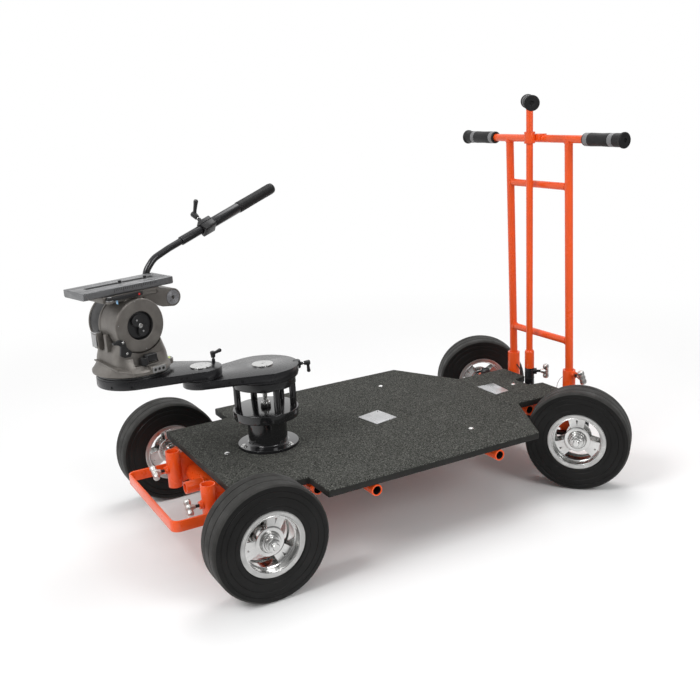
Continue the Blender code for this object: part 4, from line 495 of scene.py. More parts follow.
ORANGE = finish("orange_enamel", (0.88, 0.098, 0.012), 0.30, tone=0.86, patch=9.0, grain=420.0, bump=0.08, scuff=0.16, under=(0.30, 0.10, 0.05), coat=0.2, specular=0.4, swing=0.08)
TREAD = finish("tyre_tread", (0.040, 0.039, 0.037), 0.62, tone=0.62, patch=22.0, grain=1400.0, bump=0.2, scuff=0.4, under=(0.10, 0.096, 0.09), specular=0.2)
SIDEWALL = finish("tyre_sidewall", (0.009, 0.0088, 0.0085), 0.42, tone=0.70, patch=18.0, grain=1100.0, bump=0.10, scuff=0.12, under=(0.035, 0.033, 0.031), specular=0.22)
ZINC = finish("pressed_zinc", (0.76, 0.76, 0.75), 0.20, 1.0, tone=0.86, patch=30.0, grain=300.0, bump=0.04, swing=0.07)
FLANGE = finish("worn_zinc", (0.62, 0.62, 0.61), 0.34, 1.0, tone=0.86, patch=40.0, grain=700.0, bump=0.06, scuff=0.2, under=(0.35, 0.35, 0.35))
CAST = finish("cast_alloy", (0.66, 0.65, 0.63), 0.36, 1.0, tone=0.80, patch=60.0, grain=1200.0, bump=0.3, scuff=0.1, under=(0.4, 0.39, 0.37))
SATIN = finish("satin_black", (0.016, 0.016, 0.018), 0.28, 0.35, tone=0.72, patch=12.0, grain=1600.0, bump=0.04, scuff=0.10, under=(0.08, 0.08, 0.08), coat=0.3, specular=0.55)
IRON = finish("blackened_steel", (0.03, 0.03, 0.032), 0.40, 0.6, tone=0.7, patch=25.0, grain=900.0, bump=0.15)
MOULDED = finish("moulded_black", (0.015, 0.015, 0.016), 0.38, tone=0.8, patch=40.0, grain=2200.0, bump=0.04)
GRIP = finish("grip_rubber", (0.012, 0.012, 0.0125), 0.50, specular=0.3, tone=0.75, patch=30.0, grain=1500.0, bump=0.10, scuff=0.15, under=(0.05, 0.05, 0.05))
BAND = finish("grip_band", (0.19, 0.19, 0.195), 0.42, tone=0.85, patch=30.0, grain=1500.0, bump=0.08)
PLATE = finish("anodised_plate", (0.20, 0.202, 0.208), 0.34, 0.7, tone=0.82, patch=25.0, grain=1300.0, bump=0.06, scuff=0.25, under=(0.35, 0.35, 0.36))
RECESS = finish("head_recess", (0.03, 0.029, 0.028), 0.5, 0.3, tone=0.7, patch=40.0, grain=900.0, bump=0.1)
TRIM = finish("light_trim", (0.42, 0.42, 0.42), 0.35, 0.7, tone=0.85, patch=50.0, grain=1500.0, bump=0.06)
BLANK = finish("bare_plate", (0.55, 0.55, 0.56), 0.30, 0.9, tone=0.78, patch=40.0, grain=1200.0, bump=0.05, scuff=0.35, under=(0.16, 0.16, 0.17))
RED = finish("red_mark", (0.55, 0.01, 0.01), 0.4, tone=0.9, patch=50.0, grain=900.0, bump=0.02)
BLUE = finish("pale_blue_mark", (0.25, 0.50, 0.75), 0.4, tone=0.9, patch=50.0, grain=900.0, bump=0.02)
BUBBLE = finish("bubble_level", (0.62, 0.80, 0.04), 0.08, tone=0.8, patch=90.0, grain=900.0, bump=0.0, coat=0.6)
print("common finishes:", len(bpy.data.materials))

# %% The carpet, the turned steel and the hammered enamel


def carpet():
    made, tree, shader, place = start_material("speckled_carpet", 0.95, 0.0, specular=0.15)
    pile = node(tree, "ShaderNodeGroup", {"node_tree": PILE}, Vector=place, Tuft=540.0)
    surface = node(tree, "ShaderNodeGroup", {"node_tree": HANDLED}, Vector=place, Patch=7.0, Grain=160.0, Scuffing=0.0)
    base = blend_colour(tree, surface.outputs["Patches"], (0.054, 0.055, 0.050), (0.070, 0.071, 0.065))
    base = blend_colour(tree, pile.outputs["Dark flecks"], base, (0.014, 0.014, 0.013))
    base = blend_colour(tree, pile.outputs["Light flecks"], base, (0.170, 0.172, 0.154))
    tree.links.new(base, shader.inputs["Base Color"])
    bumped = node(tree, "ShaderNodeBump", Height=pile.outputs["Height"], Strength=0.9, Distance=0.0012)
    tree.links.new(bumped.outputs[0], shader.inputs["Normal"])
    return made


def turned_steel(name, centre, colour=(0.74, 0.74, 0.73), roughness=0.26, metallic=1.0):
    """Bright metal with lathe rings round the upright through this centre."""
    made, tree, shader, place = start_material(name, roughness, metallic)
    flat = node(tree, "ShaderNodeMapping", Vector=place, Location=(-centre[0], -centre[1], 0.0), Scale=(1, 1, 0))
    marks = node(tree, "ShaderNodeGroup", {"node_tree": RINGS}, Vector=flat.outputs[0], Rings=2600.0)
    surface = node(tree, "ShaderNodeGroup", {"node_tree": HANDLED}, Vector=place, Patch=30.0, Grain=900.0, Scuffing=0.12)
    dark = tuple(channel * 0.72 for channel in colour)
    base = blend_colour(tree, marks.outputs["Height"], dark, colour)
    base = blend_colour(tree, surface.outputs["Scuffs"], base, (0.25, 0.25, 0.25))
    tree.links.new(base, shader.inputs["Base Color"])
    bumped = node(tree, "ShaderNodeBump", Height=marks.outputs["Height"], Strength=0.15, Distance=0.0006)
    tree.links.new(bumped.outputs[0], shader.inputs["Normal"])
    return made


def hammered():
    made, tree, shader, place = start_material("bronze_grey_enamel", 0.40, 0.55)
    pebbled = node(tree, "ShaderNodeGroup", {"node_tree": PEBBLES}, Vector=place, Pebble=900.0)
    surface = node(tree, "ShaderNodeGroup", {"node_tree": HANDLED}, Vector=place, Patch=18.0, Grain=900.0, Scuffing=0.12)
    base = blend_colour(tree, pebbled.outputs["Tone"], (0.150, 0.138, 0.126), (0.205, 0.192, 0.176))
    base = blend_colour(tree, surface.outputs["Scuffs"], base, (0.36, 0.35, 0.33))
    tree.links.new(base, shader.inputs["Base Color"])
    rough = spread_between(tree, surface.outputs["Patches"], 0.34, 0.46)
    tree.links.new(rough, shader.inputs["Roughness"])
    bumped = node(tree, "ShaderNodeBump", Height=pebbled.outputs["Height"], Strength=0.18, Distance=0.0008)
    tree.links.new(bumped.outputs[0], shader.inputs["Normal"])
    return made


CARPET = carpet()
ENAMEL = hammered()
STEEL = finish("bright_steel", (0.70, 0.70, 0.69), 0.24, 1.0, tone=0.82, patch=60.0, grain=1500.0, bump=0.06, swing=0.08)
DECK_EDGE = finish("deck_edge", (0.020, 0.020, 0.018), 0.62, tone=0.7, patch=20.0, grain=700.0, bump=0.5, scuff=0.3, under=(0.05, 0.045, 0.038), specular=0.25)
print("all finishes:", len(bpy.data.materials))

# %% [markdown]
# ## Wheels
#
# Each wheel is a slick solid tyre on a pressed and zinc-plated steel rim. The tyre is one profile
# spun round the axle: two grooves in the tread, a sharp shoulder, and low rings on the side wall
# from its mould. The tread is scuffed grey by floors, so its faces get a second finish.

# %% The tyre
TYRE_HALF = 0.039
WHEEL_RADIUS = 0.130


def tyre_profile():
    side = [
        (0.0660, 0.0322, 0), (0.0728, 0.0362, 0.001), (0.0750, 0.0386, 0.002), (0.0835, 0.0389, 0.001),
        (0.0842, 0.0383, 0), (0.0850, 0.0389, 0), (0.1010, 0.0390, 0.001), (0.1018, 0.0381, 0),
        (0.1030, 0.0389, 0), (0.1130, 0.0388, 0), (0.1138, 0.0377, 0.0004), (0.1160, 0.0376, 0.0004),
        (0.1168, 0.0386, 0.0004), (0.1245, 0.0383, 0.0012), (0.1284, 0.0352, 0.0013), (0.1298, 0.0300, 0.002),
    ]
    groove = [(0.1300, 0.0143, 0.0004), (0.1283, 0.0138, 0.0004), (0.1283, 0.0122, 0.0004), (0.1300, 0.0117, 0.0004)]
    half = side + groove
    mirrored = [(radius, -across, size) for radius, across, size in reversed(half)]
    return fillet(half + mirrored, steps=3)


for name, place in WHEELS.items():
    tyre = make(name + "_tyre_dressed", [lathe(tyre_profile(), 128, "X")], SIDEWALL, name, place, [name + "_tyre"], 32)
    tyre.data.materials.append(TREAD)
    home = place.inverted()
    for face in tyre.data.polygons:
        across = home @ face.center
        if Vector((across.y, across.z)).length > 0.1262:
            face.material_index = 1

# %% [markdown]
# The rim is two pressings back to back. From the outside in: a wide flat ring, a rolled bead that
# flashes in the light, a deep wall, and a web with three windows. The windows are cut out of a
# plain disc with a Boolean, and a Bevel modifier rolls their edges as the press does.

# %% The rim


def rim_shell():
    half = [
        (0.0655, 0.0290, 0.001), (0.0662, 0.0325, 0.0015), (0.0722, 0.0352, 0.001), (0.0726, 0.0367, 0.0006),
        (0.0700, 0.0371, 0.001), (0.0632, 0.0364, 0.001), (0.0622, 0.0372, 0.0008), (0.0608, 0.0366, 0.0008),
        (0.0600, 0.0335, 0.002), (0.0588, 0.0190, 0.002), (0.0588, 0.0160, 0.001),
    ]
    mirrored = [(radius, -across, size) for radius, across, size in reversed(half)]
    return lathe(fillet(half + mirrored, steps=3), 96, "X")


def rim_web(sign):
    """One web: the disc between wall and hub, its three windows and the notch near each spoke's end."""
    disc = lathe(
        fillet([
            (0.0225, 0.0196, 0.001), (0.0240, 0.0216, 0.001), (0.0310, 0.0213, 0.002), (0.0340, 0.0202, 0.002),
            (0.0560, 0.0192, 0.003), (0.0592, 0.0215, 0.001), (0.0592, 0.0185, 0.001), (0.0560, 0.0172, 0.001),
            (0.0225, 0.0176, 0.0005),
        ], steps=3),
        96, "Z",
    )
    cutters = []
    for i in range(3):
        middle = -90 + 120 * i
        window = [(x, y, 0) for x, y in arc((0, 0), 0.0562, middle - 38, middle + 38, 10)]
        window += [(x, y, 0) for x, y in arc((0, 0), 0.0318, middle + 31, middle - 31, 6)]
        window[0] = (*window[0][:2], 0.004)
        window[10] = (*window[10][:2], 0.004)
        window[11] = (*window[11][:2], 0.003)
        window[-1] = (*window[-1][:2], 0.003)
        cutters.append(slab(fillet(window, steps=3), 0.010, 0.030, edge=0))
        spoke = math.radians(middle + 60)
        notch = [(0.0478, -0.0022), (0.0516, -0.0022), (0.0516, 0.0022), (0.0478, 0.0022)]
        turned = [(x * math.cos(spoke) - y * math.sin(spoke), x * math.sin(spoke) + y * math.cos(spoke)) for x, y in notch]
        cutters.append(slab(turned, 0.010, 0.030, edge=0))
    web = carve(disc, *cutters, edge=0.0007)
    if sign < 0:
        bmesh.ops.scale(web, vec=(1, 1, -1), verts=web.verts)
        bmesh.ops.reverse_faces(web, faces=web.faces)
    return carried(web, ALONG["X"])


def rim_hub():
    half = [
        (0.0092, 0.0327, 0.0004), (0.0165, 0.0327, 0.0012), (0.0172, 0.0290, 0.0015), (0.0205, 0.0282, 0.001),
        (0.0215, 0.0255, 0.001), (0.0225, 0.0205, 0.001), (0.0232, 0.0190, 0),
    ]
    mirrored = [(radius, -across, size) for radius, across, size in reversed(half)]
    return lathe(fillet(half + mirrored, steps=3), 64, "X")


SPOKE_TURN = {"front_wheel_near": -51, "front_wheel_far": -20, "rear_wheel_near": -28, "rear_wheel_far": 35}
for name, place in WHEELS.items():
    shells = [rim_shell(), rim_web(1), rim_web(-1), rim_hub()]
    turned = place @ tip(SPOKE_TURN[name], "X")
    rim = make(name + "_rim_dressed", shells, ZINC, name, turned, [name + "_rim"], 35)
    rim.data.materials.append(FLANGE)
    home = place.inverted()
    for face in rim.data.polygons:
        across = home @ face.center
        if Vector((across.y, across.z)).length > 0.0625:
            face.material_index = 1
print("rims turned by", SPOKE_TURN)

# %% [markdown]
# The nuts and the threaded ends of the axles stand still while the wheel turns. A thread is a
# stack of small bevelled rings here: at this size nobody sees that it doesn't climb.

# %% Nuts, washers and threads


def threaded(radius, low, high, pitch=0.00125, axis="X", place=(0, 0, 0)):
    outline = [(0.0, low), (radius - 0.0006, low)]
    height = low + 0.0003
    while height + pitch < high - 0.0004:
        outline += [(radius, height + 0.35 * pitch), (radius - 0.0006, height + 0.85 * pitch)]
        height += pitch
    outline += [(radius - 0.0012, high), (0.0, high)]
    return lathe(outline, 32, axis, place)


def hex_nut(across, low, high, axis="X", place=(0, 0, 0)):
    """A nut: a hexagon whose corners are turned off by a cone at both ends."""
    nut = slab(hexagon(across), low, high, edge=0)
    reach = across * 0.62
    turned = lathe([(0, low), (across * 0.50, low), (reach, low + 0.0012), (reach, high - 0.0012), (across * 0.50, high), (0, high)], 48)
    return carried(carve(nut, turned, operation="INTERSECT"), Matrix.Translation(place) @ ALONG[axis])


def axle_end(centre):
    """The washer, nut and thread outside a wheel whose centre is this far along the axle."""
    hub = centre + 0.0327 + 0.0003
    return [
        lathe(fillet([(0, hub), (0.0145, hub), (0.0145, hub + 0.002), (0, hub + 0.002)], 0.0005, 2), 40, "X"),
        hex_nut(0.024, hub + 0.0017, hub + 0.0112),
        threaded(0.0080, hub + 0.005, hub + 0.0190),
        bar(0.0080, centre - 0.034, hub + 0.006, "X"),
    ]


for side, sign in (("near", 1), ("far", -1)):
    hub_place = PLAN @ spot(0, FRONT_Y, AXLE_Z, 0 if sign > 0 else 180)
    shoulder = [(0, 0.225), (0.0182, 0.225), (0.0182, 0.2500), (0.0150, 0.2503), (0.0145, 0.2778), (0.0, 0.2778)]
    shells = [lathe(fillet(shoulder, 0.0008, 2), 40, "X")] + axle_end(0.311)
    make(f"front_axle_{side}_dressed", shells, ZINC, "chassis", hub_place, [f"front_axle_{side}"], 35)

# %% [markdown]
# ## The orange chassis
#
# The frame is mild-steel tube, cut square, welded and enamelled. The tubes are pipes with a real
# bore, because their open ends look out from under the deck, and a thin ring of weld lies where
# one meets another.

# %% Axle tube, cross tubes and spine
CROSS_Z = 0.1727
SPINE_Z = 0.1449


def weld(radius, place=(0, 0, 0), axis="Z", thickness=0.0016):
    return bead(radius + 0.0004, thickness, 0, axis, place, 40)


axle_tube = pipe(0.0225, 0.0185, -0.250, 0.250, "X", (0, FRONT_Y, AXLE_Z), steps=64)
stub = pipe(0.0145, 0.0115, -0.5435, FRONT_Y - 0.012, "Y", (0, 0, SPINE_Z), steps=48)
make(
    "front_axle_beam_dressed", [axle_tube, stub, weld(0.0145, (0, FRONT_Y - 0.0200, SPINE_Z), "Y")],
    ORANGE, "chassis", stands_for=["front_axle_beam"],
)
for name, y, half in (
    ("cross_tube_1", -0.220, 0.3265), ("cross_tube_2", 0.114, 0.3265),
    ("front_outrigger", -0.322, 0.245), ("rear_outrigger", 0.372, 0.126),
):
    tube = pipe(0.0130, 0.0100, -half, half, "X", (0, y, CROSS_Z), steps=48)
    make(name + "_dressed", [tube], ORANGE, "chassis", stands_for=[name])
    # A thin blackened-steel sleeve lines each open bore: painted shade, a dark sheet where the inside of the tube is
    # only in shade.
    painted_bore_shade = pipe(0.0102, 0.0094, -half + 0.0015, half - 0.0015, "X", (0, y, CROSS_Z), edge=0.0002, steps=40)
    make(name + "_painted_bore_shade", [painted_bore_shade], IRON, "chassis")
spine = pipe(0.0145, 0.0115, FRONT_Y + 0.0205, 0.4620, "Y", (0, 0, SPINE_Z), steps=48)
welds = [weld(0.0145, (0, y, SPINE_Z), "Y") for y in (FRONT_Y + 0.0215, 0.4610)]
make("spine_tube_dressed", [spine, *welds], ORANGE, "chassis", stands_for=["spine_tube"])

# %% [markdown]
# Two upright sockets stand in front of the axle, each on a gusset plate, with a boss for its clamp
# screw. The socket has a real bore, the gusset is a slab with its outline filleted, and the plate
# is drawn from its side, so it is carried over by a quarter turn.

# %% Front sockets and bumper


def standing(outline, low, high, edge=0.0006):
    """A plate that stands along Y: its outline is (along Y, height)."""
    return slab([(-height, along) for along, height in outline], low, high, "X", edge=edge)


for side, sign in (("near", 1), ("far", -1)):
    x = sign * 0.119
    socket = pipe(0.0170, 0.0145, 0.104, 0.1945, "Z", (x, -0.529, 0), steps=56)
    boss = bar(0.0090, -0.553, -0.545, "Y", (x, 0, 0.14925), steps=36)
    outline = [
        (-0.5145, 0.110), (FRONT_Y, 0.1165), (-0.4055, 0.1635, 0.02), (-0.3805, 0.1855), (-0.5145, 0.1855),
    ]
    gusset = standing(fillet(outline, 0.003, 3), x - 0.003, x + 0.003)
    seams = [
        weld(0.0090, (x, -0.5462, 0.14925), "Y", 0.0012),
        bar(0.0021, 0.112, 0.184, "Z", (x + 0.0035, -0.5130, 0), 0.001, 16),
        bar(0.0021, 0.112, 0.184, "Z", (x - 0.0035, -0.5130, 0), 0.001, 16),
    ]
    make(
        f"front_socket_{side}_dressed", [socket, boss, gusset, *seams], ORANGE, "chassis",
        stands_for=[f"front_socket_{side}"],
    )

outer, inner, front, turn = 0.168, 0.162, -0.6315, 0.020
outline = [(-outer, FRONT_Y - 0.0215)] + arc((-outer + turn, front + turn), turn, 180, 270, 10)
outline += arc((outer - turn, front + turn), turn, 270, 360, 10) + [(outer, FRONT_Y - 0.0215), (inner, FRONT_Y - 0.0215)]
outline += arc((outer - turn, front + turn), turn - 0.006, 360, 270, 10)
outline += arc((-outer + turn, front + turn), turn - 0.006, 270, 180, 10) + [(-inner, FRONT_Y - 0.0215)]
bumper = slab(outline, 0.123, 0.148, edge=0.0012)
seams = [bar(0.0018, 0.125, 0.146, "Z", (sign * 0.1695, FRONT_Y - 0.0222, 0), 0.001, 16) for sign in (1, -1)]
make("bumper_dressed", [bumper, *seams], ORANGE, "chassis", stands_for=["bumper"])

# %% [markdown]
# ## The deck
#
# The deck is 18 mm plywood wrapped in ribbed exhibition carpet. The wrap rounds its edges, and the
# edges look darker and denser than the top, so the side faces get their own finish. The outline
# comes from the drawing: a nose, wide wings, a slanted taper and a tail with a notch.

# %% The carpeted deck
DECK_TOP = 0.204
half = [
    (0.2354, -0.5044), (0.2354, -0.3379), (0.3263, -0.3379), (0.3263, 0.2321), (0.1319, 0.3277),
    (0.1319, 0.4913), (0.0380, 0.4913), (0.0300, 0.4490),
]
outline = fillet(half + [(-x, y) for x, y in reversed(half)], 0.004, 4)
deck_body = slab(outline, DECK_TOP - 0.018, DECK_TOP, edge=0.0028)
deck = make("deck_dressed", [deck_body], CARPET, "chassis", stands_for=["deck"], angle=50)
deck.data.materials.append(DECK_EDGE)
for face in deck.data.polygons:
    if face.normal.z < 0.3:
        face.material_index = 1

# %% [markdown]
# Domed bolt heads hold the deck to the cross tubes, and two small plates are screwed to it. They
# are left blank: a plain rolled edge, four rivets and a few scratches are all that they carry.

# %% Bolt heads and bare plates


def dome_bolt(x, y, z, radius=0.0064):
    outline = [
        (0, z - 0.001, 0), (radius, z - 0.001), (radius, z + 0.0008),
        (radius * 0.62, z + 0.0026, 0.002), (0, z + 0.0031, 0),
    ]
    return lathe(fillet(outline, 0.0006, 3), 32, "Z", (x, y, 0))


bolts = [dome_bolt(x, y, DECK_TOP) for x, y in ((0.0, -0.434), (0.212, 0.1167), (-0.212, 0.1167), (0.004, 0.4157))]
make("deck_bolts", bolts, ZINC, "chassis")


def bare_plate(name, corners):
    """A blank plate on the deck between four corners, with bevelled edges and a rivet in each corner."""
    centre = sum((Vector((*c, 0)) for c in corners), Vector()) / 4
    outline = fillet([(*c, 0.003) for c in corners], steps=4)
    sheet = slab(outline, DECK_TOP - 0.0004, DECK_TOP + 0.0012, edge=0.0004)
    rivets = []
    for corner in corners:
        at = centre + (Vector((*corner, 0)) - centre) * 0.84
        rivets.append(lathe(fillet([(0, 0.2050, 0), (0.0019, 0.2050), (0.0015, 0.2061), (0, 0.2063, 0)], 0.0004, 2), 20, "Z", (at.x, at.y, 0)))
    make(name, [sheet, *rivets], BLANK, "chassis")


bare_plate("middle_plate", [(-0.027, -0.063), (0.047, -0.051), (0.034, 0.016), (-0.042, 0.005)])
bare_plate("rear_plate", [(-0.039, 0.324), (0.046, 0.324), (0.040, 0.370), (-0.036, 0.378)])

# %% [markdown]
# ## The steered rear end
#
# A box beam under the deck's tail ends in two forks. A kingpin through each fork carries a knuckle
# with its stub axle, and under the beam a plate on the tiller's shaft pulls two tie rods. The
# forks are welded plates, so they are slabs with round ends, and the eyes of the knuckle arms and
# the tie rods have real holes.

# %% Rear beam and kingpins
HALF_FORK = 0.033
YOKE = HALF_FORK + 0.0003 + 0.008
KINGPIN_X = 0.2063

shells = [brick((-0.180, REAR_Y - 0.018, 0.105), (0.180, REAR_Y + 0.018, 0.155), 0.004, 3)]
for sign in (1, -1):
    x = sign * KINGPIN_X
    inner = 0.135
    for low, high in ((AXLE_Z + HALF_FORK + 0.0003, AXLE_Z + YOKE), (AXLE_Z - YOKE, AXLE_Z - HALF_FORK - 0.0003)):
        ear = arc((KINGPIN_X, REAR_Y), 0.021, -90, 90, 24) + [(inner, REAR_Y + 0.021), (inner, REAR_Y - 0.021)]
        ear = [(sign * across, along) for across, along in ear]
        plate = slab(ear, low, high, edge=0.0008)
        shells.append(plate)
        shells.append(weld(0.0125, (x, REAR_Y, low - 0.0005 if low < AXLE_Z else high + 0.0005), thickness=0.0008))
    middle = sign * (inner + 0.011)
    shells.append(brick((middle - 0.010, REAR_Y - 0.012, AXLE_Z - YOKE + 0.001), (middle + 0.010, REAR_Y + 0.012, AXLE_Z + YOKE - 0.001), 0.001))
shells.append(pipe(0.0150, 0.0100, 0.1040, 0.1560, "Z", (0, 0.4765, 0), steps=40))
make("rear_beam_dressed", shells, ORANGE, "chassis", stands_for=["rear_beam"])

for side, sign in (("near", 1), ("far", -1)):
    place = (sign * KINGPIN_X, REAR_Y, 0)
    top = AXLE_Z + YOKE + 0.0003
    foot = AXLE_Z - YOKE - 0.0003
    shells = [
        bar(0.0090, foot - 0.002, top + 0.002, "Z", place),
        lathe(fillet([(0, foot - 0.006, 0), (0.013, foot - 0.006), (0.013, foot), (0, foot, 0)], 0.0008, 2), 40, "Z", place),
        lathe(fillet([(0, top, 0), (0.014, top), (0.014, top + 0.010), (0.0105, top + 0.0155, 0.002), (0, top + 0.0177, 0)], 0.0012, 3), 40, "Z", place),
    ]
    make(f"kingpin_{side}_dressed", shells, MOULDED, "chassis", stands_for=[f"kingpin_{side}"], angle=40)

# %% Steering knuckles
for side, sign, turn in (("near", 1, -48.9), ("far", -1, 153.0)):
    place = PLAN @ spot(sign * KINGPIN_X, REAR_Y, AXLE_Z, turn)
    tip_point = Vector((-0.0154, -0.0813 * sign, 0))
    along = tip_point.normalized()
    across = Vector((-along.y, along.x, 0)) * 0.010
    heading = math.degrees(math.atan2(along.y, along.x))
    outline = arc(tip_point[:2], 0.010, heading - 90, heading + 90, 16)
    outline += [(across.x * 1.25, across.y * 1.25), (-across.x * 1.25, -across.y * 1.25)]
    arm = carve(slab(outline, -HALF_FORK, -HALF_FORK + 0.007, edge=0.0006), bar(0.0046, -0.05, 0.0, "Z", (*tip_point[:2], 0), 0))
    shoulder = fillet([(0, 0.008, 0), (0.0150, 0.008), (0.0150, 0.050), (0.0138, 0.0565), (0, 0.0565, 0)], 0.0008, 2)
    shells = [
        pipe(0.0180, 0.0098, -HALF_FORK, HALF_FORK, "Z", edge=0.001, steps=48), arm,
        lathe(shoulder, 40, "X"), *axle_end(0.090),
    ]
    make(f"steering_knuckle_{side}_dressed", shells[:3], IRON, f"knuckle_{side}", place, [f"steering_knuckle_{side}"])
    make(f"stub_axle_{side}", shells[3:], ZINC, f"knuckle_{side}", place)

# %% [markdown]
# The tiller's shaft ends in a plate with two pins, and the tie rods hang on them. Their places are
# worked out as on the drawing: the plate's pin turned with the tiller, the knuckle's eye turned
# with its wheel, and the rod between the two.

# %% Pitman shaft and tie rods
plate_top = AXLE_Z - HALF_FORK
outline = [(-0.013, 0.004), (-0.0345, -0.0718)] + arc((-0.0245, -0.0758), 0.010, 180, 270, 8)
outline += arc((0.0245, -0.0758), 0.010, 270, 360, 8) + [(0.0345, -0.0718), (0.013, 0.004)]
boss_end = 0.0200
shells = [
    bar(0.0090, plate_top - 0.007, 0.176, "Z"),
    bar(0.0130, plate_top - 0.007, 0.1047, "Z"),
    slab(outline, plate_top - 0.007, plate_top, edge=0.0007),
    pipe(0.0130, 0.0093, 0.166, 0.2397, "Z", edge=0.0012, steps=48),
    bead(0.0131, 0.0007, 0.1745), bead(0.0131, 0.0007, 0.2120),
    lathe(fillet([(0.0045, 0.011), (0.0090, 0.011), (0.0086, boss_end), (0.0045, boss_end)], 0.0008, 2), 40, "Y", (0, 0, 0.230)),
]
for sign in (1, -1):
    shells.append(bar(0.0040, plate_top - 0.017, plate_top, "Z", (sign * 0.0245, -0.0758, 0), steps=24))
    shells.append(hex_nut(0.010, plate_top - 0.0004, plate_top + 0.0046, "Z", (sign * 0.0245, -0.0758, 0)))
make("pitman_shaft_dressed", shells, SATIN, "tiller", STEERING, ["pitman_shaft"])

for side, sign, turn in (("near", 1, -48.9), ("far", -1, -27.0)):
    spin = Matrix.Rotation(math.radians(-38.0), 3, "Z")
    inner_eye = Vector((0, 0.4765, 0)) + spin @ Vector((sign * 0.0245, -0.0758, 0))
    wheel = Matrix.Rotation(math.radians(turn), 3, "Z")
    outer_eye = Vector((sign * KINGPIN_X, REAR_Y, 0)) + wheel @ Vector((-sign * 0.0154, -0.0813, 0))
    reach = outer_eye - inner_eye
    heading = math.degrees(math.atan2(reach.y, reach.x))
    place = PLAN @ spot(inner_eye.x, inner_eye.y, plate_top - 0.007 - 0.0003 - 0.0035, heading)
    length = reach.length
    outline = arc((0, 0), 0.010, 40, 320, 24) + arc((length, 0), 0.010, -140, 140, 24)
    holes = [bar(0.0046, -0.02, 0.02, "Z", (x, 0, 0), 0) for x in (0.0, length)]
    make(
        f"tie_rod_{side}_dressed", [carve(slab(outline, -0.0035, 0.0035, edge=0.0008), *holes)],
        IRON, f"tie_rod_{side}", place, [f"tie_rod_{side}"],
    )

# %% [markdown]
# ## Handles
#
# A push grip is a rubber sleeve: a flange at its outer end, a waist, and pale bands near both
# ends. All four grips are the same idea at two lengths, so one function draws the profile and the
# bands are rings of their own that sit in it.

# %% Grips
GRIP_RADIUS = 0.0165


def grip_shells(length):
    bodies = fillet(
        [
            (0.0103, 0.0, 0.0005), (0.0150, 0.0, 0.001), (GRIP_RADIUS, 0.0035), (0.0150, 0.0042, 0.0006),
            (0.0150, 0.0188, 0.0006), (GRIP_RADIUS, 0.0195, 0.0006), (0.0158, length * 0.42, 0.04),
            (GRIP_RADIUS, length - 0.0470, 0.0006), (0.0150, length - 0.0463, 0.0006), (0.0150, length - 0.0307, 0.0006),
            (GRIP_RADIUS, length - 0.0300, 0.0006), (GRIP_RADIUS, length - 0.0095, 0.002), (0.0190, length - 0.0060, 0.001),
            (0.0194, length - 0.0020, 0.0015), (0.0175, length, 0.0015), (0.0052, length, 0.001),
            (0.0046, length - 0.0035, 0.0006), (0, length - 0.0035, 0), (0, length - 0.006, 0), (0.0103, length - 0.006, 0.0005),
        ],
        steps=4,
    )
    rubber = lathe(bodies, 56, "X")
    bands = [lathe(fillet(rectangle(0.0146, low, 0.0163, low + 0.0146), 0.0008, 3), 56, "X") for low in (0.0042, length - 0.0458)]
    return rubber, bands


def make_grip(node, body, place, length):
    rubber, bands = grip_shells(length)
    make(node + "_dressed", [rubber], GRIP, body, place, [node], 40)
    make(node + "_bands", bands, BAND, body, place, angle=40)


for side, turn in (("near", 0), ("far", 180)):
    place = PUSH_BAR @ spot(0, -0.011, 0.609, turn) @ spot(0.3085 - 0.1325, 0, 0)
    make_grip(f"push_grip_{side}", "push_bar", place, 0.1325)
    place = STEERING @ spot(0, 0, 0.957, turn) @ spot(0.145 - 0.112, 0, 0)
    make_grip(f"tiller_grip_{side}", "tiller", place, 0.112)

# %% [markdown]
# The push bar is two posts, two rungs and a handlebar. The posts lean forward by 11 mm over their
# height, and every joint has its ring of weld. A welded clip in the middle of the handlebar holds
# the collar that the tiller's column turns in.

# %% Push bar
HEAD_Z = 0.609
lean = -0.011
posts = []
for sign in (1, -1):
    x = sign * 0.1165
    posts.append(rod_along([(x, 0, -0.1432), (x, 0, 0.012), (x, lean, HEAD_Z)], 0.0106, 8))
handlebar = bar(0.0100, -0.301, 0.301, "X", (0, lean, HEAD_Z), steps=40)
rungs = []
welds = []
for height in (0.4895, 0.0785):
    depth = lean * height / HEAD_Z
    rungs.append(bar(0.0095, -0.1165, 0.1165, "X", (0, depth, height), steps=36))
    welds += [weld(0.0095, (sign * 0.1062, depth, height), "X", 0.0013) for sign in (1, -1)]
for sign in (1, -1):
    welds.append(weld(0.0106, (sign * 0.1165, lean, HEAD_Z - 0.0098), "Z", 0.0013))
column_y = -0.0395
collar = pipe(0.0140, 0.0098, HEAD_Z - 0.011, HEAD_Z + 0.019, "Z", (0, column_y, 0), steps=48)
clip = [
    brick((-0.0135, column_y + 0.010, HEAD_Z - 0.0055), (0.0240, lean + 0.009, HEAD_Z + 0.0125), 0.0012),
    brick((0.0235, column_y + 0.016, HEAD_Z - 0.0035), (0.0300, lean + 0.004, HEAD_Z + 0.0075), 0.0010),
]
make(
    "push_bar_dressed", [*posts, handlebar, *rungs, *welds, collar, *clip], ORANGE, "push_bar", PUSH_BAR,
    ["push_bar_frame"], 35,
)
make("collar_rings", [bead(0.0141, 0.0008, HEAD_Z + 0.0165, "Z", (0, column_y, 0)), bead(0.0141, 0.0008, HEAD_Z - 0.0085, "Z", (0, column_y, 0))], ORANGE, "push_bar", PUSH_BAR)

